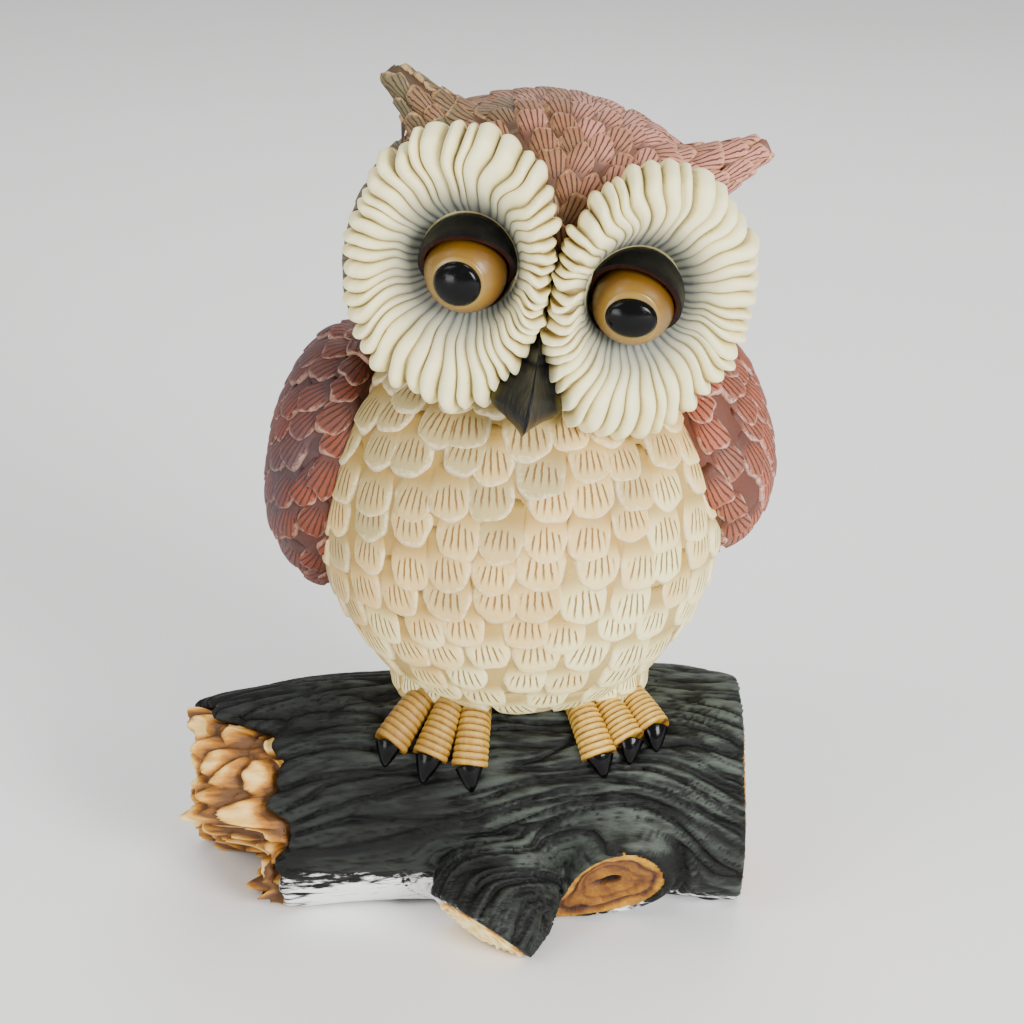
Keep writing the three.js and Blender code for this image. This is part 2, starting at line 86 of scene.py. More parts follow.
# ------------------------------------------------------------------ numbers


def rgb(red: int, green: int, blue: int) -> Colour:
    """Turns a display colour, 0 to 255, into the linear colour of a paint, mixed a little richer.

    Args:
        red: 0 to 255.
        green: 0 to 255.
        blue: 0 to 255.

    Returns:
        The colour in linear light.
    """
    shares = [channel / 255 for channel in (red, green, blue)]
    linear = [s / 12.92 if s <= 0.04045 else ((s + 0.055) / 1.055) ** 2.4 for s in shares]
    grey = 0.21 * linear[0] + 0.72 * linear[1] + 0.07 * linear[2]
    return tuple(min(0.95, max(0.002, grey + (value - grey) * RICHNESS)) for value in linear)


def smooth(value: Array | float, low: float, high: float) -> Array | float:
    """A soft step from 0 at low to 1 at high."""
    share = np.clip((value - low) / (high - low), 0, 1)
    return share * share * (3 - 2 * share)


def unit(vector: Array) -> Array:
    """The vectors of the last axis at length one."""
    return vector / np.maximum(np.linalg.norm(vector, axis=-1, keepdims=True), 1e-9)


def curve_through(knots: list[tuple[float, float]], at: Array) -> Array:
    """A smooth curve through points, read at some places.

    Args:
        knots: The points it runs through, by rising place.
        at: The places to read it at.

    Returns:
        The heights of the curve there.
    """
    x, y = np.array(knots, dtype=float).T
    slope = np.gradient(y, x)
    index = np.clip(np.searchsorted(x, at, side="right") - 1, 0, len(x) - 2)
    span = x[index + 1] - x[index]
    t = np.clip((at - x[index]) / span, 0, 1)
    start = (1 + 2 * t) * (1 - t) ** 2 * y[index] + t * (1 - t) ** 2 * span * slope[index]
    end = t * t * (3 - 2 * t) * y[index + 1] + t * t * (t - 1) * span * slope[index + 1]
    return start + end


def clouds(points: Array, scale: float, seed: float = 0.0) -> Array:
    """Smooth noise between about -1 and 1.

    Args:
        points: Places, in millimetres.
        scale: How far apart its blobs are.
        seed: Moves the noise to another place.

    Returns:
        One value for each point.
    """
    shift = Vector((seed, 1.7 * seed, -0.6 * seed))
    return np.array([noise.noise(Vector(p) / scale + shift) for p in points])


# ------------------------------------------------------------------ modelling by hand


def alone(thing: bpy.types.Object) -> None:
    """Makes one object the only selected one.

    Args:
        thing: The object.
    """
    bpy.ops.object.select_all(action="DESELECT")
    thing.select_set(True)
    bpy.context.view_layer.objects.active = thing


def start(name: str, kind: str, **sizes: float) -> bpy.types.Object:
    """Adds a primitive to begin a piece from.

    Args:
        name: The piece's name.
        kind: Which primitive, as in the names of the mesh operators.
        sizes: The operator's own sizes.

    Returns:
        The new object.
    """
    bpy.ops.object.select_all(action="DESELECT")
    getattr(bpy.ops.mesh, f"primitive_{kind}_add")(**sizes)
    thing = bpy.context.object
    thing.name = thing.data.name = name
    return thing


def points_of(thing: bpy.types.Object) -> Array:
    """The places of an object's vertices as they stand in its mesh.

    Args:
        thing: The object.

    Returns:
        One row of x, y and z for each vertex.
    """
    flat = np.empty(3 * len(thing.data.vertices))
    thing.data.vertices.foreach_get("co", flat)
    return flat.reshape(-1, 3)


def put_points(thing: bpy.types.Object, points: Array) -> None:
    """Moves an object's vertices."""
    thing.data.vertices.foreach_set("co", np.asarray(points, dtype=float).ravel())
    thing.data.update()


def finish_with(thing: bpy.types.Object, kind: str, **settings: object) -> None:
    """Adds a modifier and applies it.

    Args:
        thing: The object it works on.
        kind: The modifier's type.
        settings: Its settings.
    """
    alone(thing)
    modifier = thing.modifiers.new(kind.title(), kind)
    for key, value in settings.items():
        setattr(modifier, key, value)
    bpy.ops.object.modifier_apply(modifier=modifier.name)


def sliced(thing: bpy.types.Object, place: Array, normal: Array, **ends: bool) -> None:
    """Cuts an object with a plane.

    Args:
        thing: The object.
        place: A point of the plane, in the mesh's own units.
        normal: The plane's normal.
        ends: What is cleared and whether the cut is filled, as the bisect operator names them.
    """
    alone(thing)
    bpy.ops.object.mode_set(mode="EDIT")
    bpy.ops.mesh.select_all(action="SELECT")
    bpy.ops.mesh.bisect(plane_co=Vector(place), plane_no=Vector(normal), **ends)
    bpy.ops.object.mode_set(mode="OBJECT")


def tidy_faces(thing: bpy.types.Object, weld: float = 0.0) -> None:
    """Merges doubles, turns every face outwards and shades the mesh smooth.

    Args:
        thing: The object to tidy.
        weld: The distance below which vertices are merged; none are at 0.
    """
    alone(thing)
    bpy.ops.object.mode_set(mode="EDIT")
    bpy.ops.mesh.select_all(action="SELECT")
    if weld > 0:
        bpy.ops.mesh.remove_doubles(threshold=weld)
    bpy.ops.mesh.normals_make_consistent(inside=False)
    bpy.ops.object.mode_set(mode="OBJECT")
    bpy.ops.object.shade_smooth()


def mark(thing: bpy.types.Object, name: str, values: Array) -> None:
    """Stores one number per vertex for a finish to read."""
    attribute = thing.data.attributes.new(name, "FLOAT", "POINT")
    attribute.data.foreach_set("value", np.asarray(values, dtype=np.float32))


def ball_grid(thing: bpy.types.Object) -> tuple[Array, Array]:
    """Where the vertices of a unit sphere stand.

    Args:
        thing: The sphere.

    Returns:
        How far down each is, 0 at the top pole and 1 at the bottom, and its angle round the axis.
    """
    points = points_of(thing)
    down = np.arccos(np.clip(points[:, 2], -1, 1)) / np.pi
    return down, np.arctan2(points[:, 1], points[:, 0])


@dataclass(frozen=True)
class Bench:
    """The statue's place in the frame, and what dresses and hands in its pieces."""

    origin: Vector

    @classmethod
    def on_frame(cls) -> Bench:
        """Finds the statue's own origin from its front left pad."""
        low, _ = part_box("felt_pad_front_left")
        return cls(Vector(low) + Vector((90, 25, 0)) * MM)

    def place(self, thing: bpy.types.Object, points: Array) -> None:
        """Puts vertices given in the statue's millimetres into the frame."""
        put_points(thing, points * MM + np.array(self.origin))

    def hand_in(self, thing: bpy.types.Object, finish: Finish, slot: str, node: str) -> None:
        """Args:
            thing: The finished piece.
            finish: What it is painted with.
            slot: The material slot it stands for; not used.
            node: The CAD node it replaces.
        """
        thing.data.materials.clear()
        thing.data.materials.append(finish.material())
        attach(thing, "root")
        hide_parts(node)
        LOGGER.info("%s: %d faces", thing.name, len(thing.data.polygons))


# ------------------------------------------------------------------ shader maths


class Wire:
    """A shader socket that arithmetic can be written with."""

    def __init__(self, paint: Paint, socket: bpy.types.NodeSocket) -> None:
        """Keeps the socket and the material it belongs to."""
        self.paint = paint
        self.socket = socket

    def _math(self, operation: str, first: Wire | float, second: Wire | float) -> Wire:
        """Adds one Math node."""
        return self.paint.node("ShaderNodeMath", {"operation": operation}, {0: first, 1: second})

    def __add__(self, other: Wire | float) -> Wire:
        """The sum."""
        return self._math("ADD", self, other)

    __radd__ = __add__

    def __sub__(self, other: Wire | float) -> Wire:
        """The difference."""
        return self._math("SUBTRACT", self, other)

    def __rsub__(self, other: float) -> Wire:
        """The difference, the other way round."""
        return self._math("SUBTRACT", other, self)

    def __mul__(self, other: Wire | float) -> Wire:
        """The product."""
        return self._math("MULTIPLY", self, other)

    __rmul__ = __mul__

    def __truediv__(self, other: Wire | float) -> Wire:
        """The quotient."""
        return self._math("DIVIDE", self, other)

    def sine(self) -> Wire:
        """The sine."""
        return self.paint.node("ShaderNodeMath", {"operation": "SINE"}, {0: self})

    def size(self) -> Wire:
        """The value without its sign."""
        return self.paint.node("ShaderNodeMath", {"operation": "ABSOLUTE"}, {0: self})

    def step(self, low: float, high: float) -> Wire:
        """A soft step from 0 at low to 1 at high.

        Args:
            low: Where the step starts.
            high: Where it ends.

        Returns:
            A wire going from 0 to 1 between them.
        """
        return self.paint.node(
            "ShaderNodeMapRange",
            {"interpolation_type": "SMOOTHSTEP"},
            {"Value": self, "From Min": low, "From Max": high},
        )


class Paint:
    """A material under construction."""

    def __init__(self, name: str) -> None:
        """Starts an empty material.

        Args:
            name: The material's name.
        """
        self.material = bpy.data.materials.new(name)
        self.material.use_nodes = True
        self.tree = self.material.node_tree
        self.tree.nodes.clear()

    def node(
        self, kind: str, settings: dict | None = None, inputs: dict | None = None, out: int | str = 0
    ) -> Wire:
        """Adds any node.

        Args:
            kind: The node's type.
            settings: Its properties, set first; "stops" fills a colour ramp.
            inputs: Values or wires for its sockets, by name or number.
            out: Which output to hand back.

        Returns:
            The chosen output.
        """
        node = self.tree.nodes.new(kind)
        for key, value in (settings or {}).items():
            if key == "stops":
                self._fill_ramp(node.color_ramp, value)
            else:
                setattr(node, key, value)
        for key, value in (inputs or {}).items():
            if isinstance(value, Wire):
                self.tree.links.new(value.socket, node.inputs[key])
            else:
                node.inputs[key].default_value = value
        return Wire(self, node.outputs[out])

    @staticmethod
    def _fill_ramp(ramp: bpy.types.ColorRamp, stops: Stops) -> None:
        """Gives a colour ramp its stops.

        Args:
            ramp: The colour ramp of a node.
            stops: Positions with their colours.
        """
        while len(ramp.elements) < len(stops):
            ramp.elements.new(1.0)
        for element, (position, colour) in zip(ramp.elements, stops):
            element.position = position
            element.color = (*colour, 1)

    def place(self) -> Wire:
        """Object coordinates."""
        return self.node("ShaderNodeTexCoord", out="Object")

    def mark(self, name: str) -> Wire:
        """A number stored on the mesh."""
        return self.node("ShaderNodeAttribute", {"attribute_name": name}, out="Fac")

    def axes(self, vector: Wire) -> tuple[Wire, Wire, Wire]:
        """Splits a vector into its three numbers."""
        split = self.node("ShaderNodeSeparateXYZ", inputs={0: vector})
        return tuple(Wire(self, socket) for socket in split.socket.node.outputs)

    def mapped(self, vector: Wire, scale: tuple[float, float, float]) -> Wire:
        """Scales a vector along each axis."""
        return self.node("ShaderNodeMapping", inputs={"Vector": vector, "Scale": scale})

    def noise(self, vector: Wire, scale: float, detail: float = 3, rough: float = 0.55) -> Wire:
        """Cloudy noise from 0 to 1, its blobs 1/scale apart."""
        inputs = {"Vector": vector, "Scale": scale, "Detail": detail, "Roughness": rough}
        return self.node("ShaderNodeTexNoise", inputs=inputs)

    def ramp(self, value: Wire, stops: Stops) -> Wire:
        """A colour for each value."""
        return self.node("ShaderNodeValToRGB", {"stops": stops}, {0: value})

    def mix(self, share: Wire | float, first: Wire | Colour, second: Wire | Colour) -> Wire:
        """Mixes two colours.

        Args:
            share: How much of the second colour.
            first: The colour at 0.
            second: The colour at 1.

        Returns:
            The mixed colour.
        """
        colours = [value if isinstance(value, Wire) else (*value, 1) for value in (first, second)]
        settings = {"data_type": "RGBA", "blend_type": "MIX", "clamp_factor": True}
        return self.node("ShaderNodeMix", settings, {0: share, 6: colours[0], 7: colours[1]}, out=2)

    def relief(self, height: Wire, depth: float, below: Wire | None = None) -> Wire:
        """A bump of a given depth in metres, on top of another.

        Args:
            height: The height, 0 to 1.
            depth: What a height of 1 is, in metres.
            below: A normal to build on.

        Returns:
            The normal with the relief in it.
        """
        inputs = {"Height": height, "Distance": depth, "Strength": 1.0}
        if below is not None:
            inputs["Normal"] = below
        return self.node("ShaderNodeBump", inputs=inputs)

    def done(self, colour: Wire, rough: Wire, normal: Wire, **fixed: float) -> bpy.types.Material:
        """Closes the material.

        Args:
            colour: Its base colour.
            rough: Its roughness.
            normal: Its relief.
            fixed: Constants of the shader's own sockets, with underscores for spaces.

        Returns:
            The finished material.
        """
        inputs = {"Base Color": colour, "Roughness": rough, "Normal": normal}
        inputs.update({key.replace("_", " "): value for key, value in fixed.items()})
        shader = self.node("ShaderNodeBsdfPrincipled", inputs=inputs)
        output = self.tree.nodes.new("ShaderNodeOutputMaterial")
        self.tree.links.new(shader.socket, output.inputs["Surface"])
        return self.material


# ------------------------------------------------------------------ finishes


@dataclass(frozen=True)
class Finish:
    """A paint or bare material; each kind says how it is mixed."""

    name: str

    def material(self) -> bpy.types.Material:
        """The finish as a material, mixed the first time it is asked for."""
        name = f"{self.name}_look"
        return bpy.data.materials.get(name) or self.mixed(Paint(name))

    def mixed(self, paint: Paint) -> bpy.types.Material:
        """Mixes the material.

        Args:
            paint: The material under construction.

        Returns:
            The finished material.
        """
        raise NotImplementedError


@dataclass(frozen=True)
class FeatherPaint(Finish):
    """Carved feathers: engraved lines fanning over each one, a dry-brushed rim, and painted shade at each
    root, under the row above.
    """

    stops: Stops
    line: Colour
    rim: Colour
    # painted shade at each feather's root, where the row above overlaps it
    crevice: Colour
    lines: float = 46.0
    line_from: float = 0.42
    line_to: float = 0.78
    line_strength: float = 0.75
    half_fan: float = 0.4
    rim_strength: float = 0.85
    # how the coat shifts across the statue; on the breast and the brown plumage it is partly the paint's
    # own tone, partly painted light from the right
    slope: tuple[float, float, float] = (0.0, 0.0, 0.0)
    middle: tuple[float, float, float] = (0.0, 0.0, 0.0)
    edge_tint: Colour = (0.05, 0.05, 0.06)
    edge_turn: tuple[float, float, float] = (0.0, 0.0, 0.0)
    rough: float = 0.55

    def mixed(self, paint: Paint) -> bpy.types.Material:
        """Mixes the base coat, the washed lines and the rim.

        Args:
            paint: The material under construction.

        Returns:
            The finished material.
        """
        place = paint.place()
        vane = paint.node("ShaderNodeUVMap", {"uv_map": "vane"})
        across, down, _ = paint.axes(vane)
        rim, tone = paint.mark("rim"), paint.mark("tone")
        x, y, z = paint.axes(place)
        wander = paint.noise(place, 28, 2)
        grain = paint.noise(place, 900, 2)
        strokes = paint.noise(place, 420, 3, 0.65)

        blend = (x - self.middle[0]) * self.slope[0] + (y - self.middle[1]) * self.slope[1]
        blend = blend + (z - self.middle[2]) * self.slope[2] + 0.5
        coat = paint.ramp(blend + (wander - 0.5) * 0.9 + (tone - 0.5) * 0.35, self.stops)

        fan = (across - 0.5) / (down + 0.35)
        ripple = (fan * self.lines + (strokes - 0.5) * 2.2 + tone * 9.0).sine()
        ends = down + (strokes - 0.5) * 0.18 - fan.size() * 0.25
        window = ends.step(self.line_from, self.line_from + 0.07)
        window = window * (1 - (down + (tone - 0.5) * 0.1).step(self.line_to - 0.12, self.line_to + 0.04))
        window = window * (1 - (across - 0.5).size().step(self.half_fan - 0.04, self.half_fan + 0.05))
        line = ripple.step(0.45, 0.95) * window
        # painted shade: darker towards the root, under the tip of the row above
        coat = paint.mix((1 - down.step(0.25, 0.62)) * 0.75, coat, self.crevice)
        coat = paint.mix(line * self.line_strength, coat, self.line)

        brushed = (1 - (rim + (strokes - 0.5) * 0.6).step(0.06, 0.3)) * down.step(0.42, 0.6)
        coat = paint.mix(brushed * self.rim_strength, coat, self.rim)
        edge = x * self.edge_turn[0] + y * self.edge_turn[1] + z * self.edge_turn[2] + (wander - 0.5) * 0.8
        coat = paint.mix(edge.step(0.75, 1.5) * 0.75, coat, self.edge_tint)

        height = line * -1.0 + brushed * 0.5 + strokes * 0.5
        normal = paint.relief(grain, 0.00012, paint.relief(height, 0.0006))
        return paint.done(coat, strokes * 0.2 + self.rough, normal)


@dataclass(frozen=True)
class FacePaint(Finish):
    """Ivory petals with a wash in their valleys, deepened as painted shade, airbrushed grey round the eye
    and olive by the beak.
    """

    ivory: Colour = rgb(226, 215, 172)
    pale: Colour = rgb(252, 246, 218)
    valley: Colour = rgb(108, 96, 66)
    socket: Colour = rgb(66, 72, 76)
    olive: Colour = rgb(96, 74, 32)

    def mixed(self, paint: Paint) -> bpy.types.Material:
        """Mixes the petals' coats from the marks on the disc.

        Args:
            paint: The material under construction.

        Returns:
            The finished material.
        """
        place = paint.place()
        reach, crest, nose = paint.mark("reach"), paint.mark("crest"), paint.mark("nose")
        wander = paint.noise(place, 60, 3)
        fine = paint.noise(place, 700, 3, 0.6)
        coat = paint.mix(crest.step(0.35, 0.95) * (wander * 0.6 + 0.25), self.ivory, self.pale)
        # the valleys between the petals: a wash, deepened as painted shade
        coat = paint.mix((1 - (crest + (fine - 0.5) * 0.2).step(0.0, 0.58)) * 0.9, coat, self.valley)
        shade = 1 - (reach + (wander - 0.5) * 0.1).step(0.04, 0.56)
        coat = paint.mix(shade * (1.05 - crest * 0.25), coat, self.socket)
        coat = paint.mix(nose * (1 - crest.step(0.1, 0.75)) * 0.85, coat, self.olive)
        normal = paint.relief(fine, 0.00015, paint.relief(wander, 0.0006))
        return paint.done(coat, wander * 0.2 + 0.48, normal)


@dataclass(frozen=True)
class BarkPaint(Finish):
    """Near-black green bark with grey dry brushing on its crests, and white low at the left: dry brushing
    with a painted reflection of the pale floor.
    """

    dark: Colour = rgb(8, 8, 8)
    coat: Colour = rgb(27, 29, 26)
    crest: Colour = rgb(92, 98, 92)
    # white dry brushing low on the log, with a painted reflection of the pale floor
    wear: Colour = rgb(244, 244, 244)
    late_wood: Colour = rgb(112, 76, 42)
    early_wood: Colour = rgb(190, 152, 100)

    def mixed(self, paint: Paint) -> bpy.types.Material:
        """Mixes the coats by the height of the bark's ridges.

        Args:
            paint: The material under construction.

        Returns:
            The finished material.
        """
        place = paint.place()
        x, _, z = paint.axes(place)
        crest, wear = paint.mark("crest"), paint.mark("wear")
        sawn, ring = paint.mark("end_grain"), paint.mark("ring")
        along = paint.mapped(place, (0.14, 1.0, 1.0))
        fibre = paint.noise(along, 620, 4, 0.6)
        brush = paint.noise(paint.mapped(place, (0.3, 1.0, 1.0)), 260, 4, 0.62)
        wander = paint.noise(place, 22, 3)
        patches = (wander + x * 2.8 + z * 5.0 - 0.34).step(0.3, 0.85)
        shown = patches * 0.8 + 0.2
        coat = paint.mix((crest + (fibre - 0.5) * 0.35).step(0.25, 0.95) * shown, self.dark, self.coat)
        dusted = (crest + (brush - 0.5) * 0.9).step(0.68, 1.1) * shown
        coat = paint.mix(dusted * 0.62, coat, self.crest)
        streak = (brush - 0.5) * 2.6 + (fibre - 0.5) * 1.2
        # white low at the front: dry brushing, with a painted reflection of the floor
        brushed_and_reflected = (wear * 1.15 + streak).step(0.4, 0.75) * wear.step(0.04, 0.3)
        brushed_and_reflected = brushed_and_reflected * (crest + (fibre - 0.5) * 0.6).step(0.3, 0.62)
        coat = paint.mix(brushed_and_reflected, coat, self.wear)
        rings = (ring * 1.7 + (fibre - 0.5) * 2.4).sine().step(-0.8, 0.9)
        wood = paint.mix(rings * 0.7 + fibre * 0.4 - 0.1, self.late_wood, self.early_wood)
        coat = paint.mix(sawn, coat, wood)
        normal = paint.relief(fibre + brush * 0.6, 0.0006)
        return paint.done(coat, 0.62 - crest * 0.16 + fibre * 0.12, normal, Specular_IOR_Level=0.22)


@dataclass(frozen=True)
class WoodPaint(Finish):
    """Broken or sawn wood: pale on its crests, orange-brown between, dark in its crevices; the palest
    crests carry a painted highlight and the dark crevices painted shade, over the wood's own tones.
    """

    pale: Colour = rgb(212, 176, 124)
    warm: Colour = rgb(160, 114, 70)
    dark: Colour = rgb(84, 58, 38)
    # painted highlight on the highest crests
    light: Colour = rgb(236, 212, 164)
    stretch: tuple[float, float, float] = (0.25, 1.0, 1.0)
    grain: float = 420.0

    def mixed(self, paint: Paint) -> bpy.types.Material:
        """Mixes the wash by the height of the carving.

        Args:
            paint: The material under construction.

        Returns:
            The finished material.
        """
        place = paint.place()
        crest = paint.mark("crest")
        fibre = paint.noise(paint.mapped(place, self.stretch), self.grain, 4, 0.65)
        wander = paint.noise(place, 90, 3)
        level = crest + (fibre - 0.5) * 0.55 + (wander - 0.5) * 0.25
        # from painted shade in the crevices through the wood's own tones to a painted highlight on the
        # crests
        stops = ((0.12, self.dark), (0.42, self.warm), (0.72, self.pale), (1.0, self.light))
        coat = paint.ramp(level, stops)
        normal = paint.relief(fibre, 0.0008)
        return paint.done(coat, fibre * 0.2 + 0.55, normal)


@dataclass(frozen=True)
class GlossPaint(Finish):
    """A hard glossy or satin lacquer with faint brush marks."""

    colour: Colour = (0.0006, 0.0006, 0.0007)
    worn: Colour = (0.002, 0.002, 0.0022)
    rough: float = 0.1
    coat: float = 0.12
    uneven: float = 0.0002

    def mixed(self, paint: Paint) -> bpy.types.Material:
        """Mixes the lacquer.

        Args:
            paint: The material under construction.

        Returns:
            The finished material.
        """
        place = paint.place()
        wander = paint.noise(place, 160, 3)
        specks = paint.noise(place, 1500, 2)
        coat = paint.mix(wander.step(0.45, 0.8), self.colour, self.worn)
        normal = paint.relief(specks * 0.3 + wander, self.uneven)
        sheen = {"Coat_Weight": self.coat, "Coat_Roughness": 0.05, "Specular_IOR_Level": 0.1}
        return paint.done(coat, wander * 0.12 + self.rough, normal, **sheen)


@dataclass(frozen=True)
class IrisPaint(Finish):
    """Amber eyeball: pale ring at the pupil, honey towards the middle and ochre at the edges, deepened
    there as painted shade under the lid.
    """

    stops: Stops = (
        (0.0, rgb(40, 28, 18)),
        (0.29, rgb(124, 104, 66)),
        (0.38, rgb(112, 88, 44)),
        (0.55, rgb(94, 70, 26)),
        # ochre at the edges, deepened as painted shade under the lid
        (0.85, rgb(62, 44, 18)),
    )

    def mixed(self, paint: Paint) -> bpy.types.Material:
        """Mixes the rings by the mark that says how far each point is from the pupil.

        Args:
            paint: The material under construction.

        Returns:
            The finished material.
        """
        wander = paint.noise(paint.place(), 220, 3)
        coat = paint.ramp(paint.mark("spread") + (wander - 0.5) * 0.06, self.stops)
        normal = paint.relief(wander, 0.0002)
        sheen = {"Coat_Weight": 0.25, "Coat_Roughness": 0.2}
        return paint.done(coat, wander * 0.15 + 0.28, normal, **sheen)


@dataclass(frozen=True)
class LidPaint(Finish):
    """Satin black hood, with a brown-red painted shadow on its inner face, where the lid shades the
    eyeball.
    """

    black: Colour = (0.001, 0.001, 0.0011)
    worn: Colour = (0.004, 0.004, 0.0042)
    # painted shadow: the brown-red of the eyeball in the lid's shade
    lining: Colour = rgb(40, 18, 10)

    def mixed(self, paint: Paint) -> bpy.types.Material:
        """Mixes the two sides by the mark on the lid.

        Args:
            paint: The material under construction.

        Returns:
            The finished material.
        """
        place = paint.place()
        inner = paint.mark("inner")
        wander = paint.noise(place, 240, 3)
        outside = paint.mix(wander.step(0.4, 0.8), self.black, self.worn)
        # painted shadow on the lid's inner face
        coat = paint.mix(inner, outside, self.lining)
        normal = paint.relief(wander, 0.0003)
        sheen = {"Coat_Weight": 0.03, "Coat_Roughness": 0.3, "Specular_IOR_Level": 0.14}
        return paint.done(coat, wander * 0.2 + 0.3, normal, **sheen)


@dataclass(frozen=True)
class BeakPaint(Finish):
    """Satin black horn with greenish-brown gape flanges along its lower sides."""

    black: Colour = (0.001, 0.0014, 0.0026)
    worn: Colour = (0.004, 0.0054, 0.01)
    flange: Colour = rgb(58, 52, 30)

    def mixed(self, paint: Paint) -> bpy.types.Material:
        """Mixes horn and gape by the mark on the beak.

        Args:
            paint: The material under construction.

        Returns:
            The finished material.
        """
        place = paint.place()
        gape = paint.mark("gape")
        wander = paint.noise(paint.mapped(place, (1.0, 1.0, 0.4)), 260, 3)
        horn = paint.mix(wander.step(0.45, 0.8), self.black, self.worn)
        coat = paint.mix(gape, horn, self.flange)
        normal = paint.relief(wander, 0.0004)
        sheen = {"Coat_Weight": 0.04, "Coat_Roughness": 0.25, "Specular_IOR_Level": 0.16}
        return paint.done(coat, wander * 0.2 + 0.24, normal, **sheen)


@dataclass(frozen=True)
class ToePaint(Finish):
    """Yellow-beige scutes with a brown wash in the folds, and painted shade over the left foot, away from
    the light.
    """

    stops: Stops = (
        (0.1, rgb(76, 50, 20)),
        (0.45, rgb(156, 122, 68)),
        (0.95, rgb(212, 188, 134)),
    )
    dull: Colour = rgb(108, 80, 40)

    def mixed(self, paint: Paint) -> bpy.types.Material:
        """Mixes the wash by the height of the scutes.

        Args:
            paint: The material under construction.

        Returns:
            The finished material.
        """
        place = paint.place()
        fine = paint.noise(place, 520, 3, 0.6)
        coat = paint.ramp(paint.mark("crest") + (fine - 0.5) * 0.35, self.stops)
        across = paint.axes(place)[0] + (fine - 0.5) * 0.03
        # painted shade over the left foot, away from the light on the right
        coat = paint.mix((1 - across.step(-0.05, 0.06)) * 0.75, coat, self.dull)
        normal = paint.relief(fine, 0.0004)
        return paint.done(coat, fine * 0.2 + 0.45, normal)


@dataclass(frozen=True)
class PlainStock(Finish):
    """Bare stock that is hardly seen: felt, raw resin or steel."""

    light: Colour = (0.5, 0.5, 0.5)
    shade: Colour = (0.3, 0.3, 0.3)
    grain: float = 300.0
    depth: float = 0.0003
    rough: float = 0.7
    metal: float = 0.0
    stretch: tuple[float, float, float] = (1.0, 1.0, 1.0)

    def mixed(self, paint: Paint) -> bpy.types.Material:
        """Mixes two close tones over a fine grain.

        Args:
            paint: The material under construction.

        Returns:
            The finished material.
        """
        place = paint.mapped(paint.place(), self.stretch)
        fine = paint.noise(place, self.grain, 4, 0.6)
        wander = paint.noise(place, self.grain / 12, 2)
        coat = paint.mix((fine + wander - 0.5).step(0.2, 0.8), self.shade, self.light)
        normal = paint.relief(fine, self.depth)
        return paint.done(coat, fine * 0.2 + self.rough - 0.1, normal, Metallic=self.metal)


# ------------------------------------------------------------------ feathers


@dataclass(frozen=True)
class Feather:
    """One carved feather: a straight root and a rounded tip, lying along +Y with its tip at 0."""

    width: float
    length: float
    shown: float  # how much of it the row above leaves bare
    rise: float = 2.9  # how far its tip stands off the skin
    thick: float = 1.4
    dome: float = 0.5
    tip: float = 0.8  # length of the rounded part, in half widths
    ragged: float = 0.05
    columns: int = 8
    root_rows: int = 3
    tip_rows: int = 5

    def blank(self) -> tuple[Array, Faces, Array]:
        """Models the feather once.

        Returns:
            Its points as [across, along, height above the skin, how far inside the rim], its
            faces, and where each point is on the vane, from 0 to 1 each way.
        """
        rows = self.root_rows + self.tip_rows
        grid = start("feather_blank", "grid", x_subdivisions=self.columns, y_subdivisions=rows, size=2)
        flat = points_of(grid)
        faces = [tuple(face.vertices) for face in grid.data.polygons]
        bpy.data.objects.remove(grid, do_unlink=True)
        u, v = flat[:, 0], (flat[:, 1] + 1) / 2 * rows
        half = self.width / 2
        tip_length = self.tip * half
        root_length = self.length - tip_length
        t = np.clip((v - self.root_rows) / self.tip_rows, 0, 1)
        across = u * half * np.sqrt(1 - t * t / 2) * (0.9 + 0.1 * smooth(v, 0, self.root_rows))
        down = np.where(v < self.root_rows, v / self.root_rows * root_length, 0)
        down = np.where(v >= self.root_rows, root_length + t * np.sqrt(1 - u * u / 2) * tip_length, down)
        inside = 1 - np.maximum(np.abs(u), t)
        share = down / self.length
        dome = 1 - (1 - inside) ** 2
        height = self.rise * share**1.1 + self.dome * dome - 0.5
        height = np.where(inside < 1e-6, height - self.thick * (0.35 + share), height)
        points = np.stack([across, down - self.length, height, inside], 1)
        middle = np.array([[0, -0.4 * self.length, -3.0, 0]])
        border = self._border(rows)
        count = len(points)
        skirt = [(border[i - 1], border[i], count) for i in range(len(border))]
        points = np.concatenate([points, middle])
        vane = np.stack([points[:, 0] / self.width + 0.5, 1 + points[:, 1] / self.length], 1)
        return points, faces + skirt, vane

    def _border(self, rows: int) -> list[int]:
        """The grid's outer vertices in clockwise order, seen from outside.

        Args:
            rows: How many rows of vertices the sheet has.

        Returns:
            The numbers of the vertices round its border, in order.
        """
        wide, tall = self.columns + 1, rows + 1
        bottom = [i for i in range(wide)]
        right = [wide - 1 + wide * j for j in range(1, tall)]
        top = [wide * (tall - 1) + i for i in range(wide - 2, -1, -1)]
        left = [wide * j for j in range(tall - 2, 0, -1)]
        return (bottom + right + top + left)[::-1]


@dataclass(frozen=True)
class Seed:
    """Where one feather's tip lies, which way it points and how big it is."""

    point: Array
    normal: Array
    toward: Array
    scale: float = 1.0


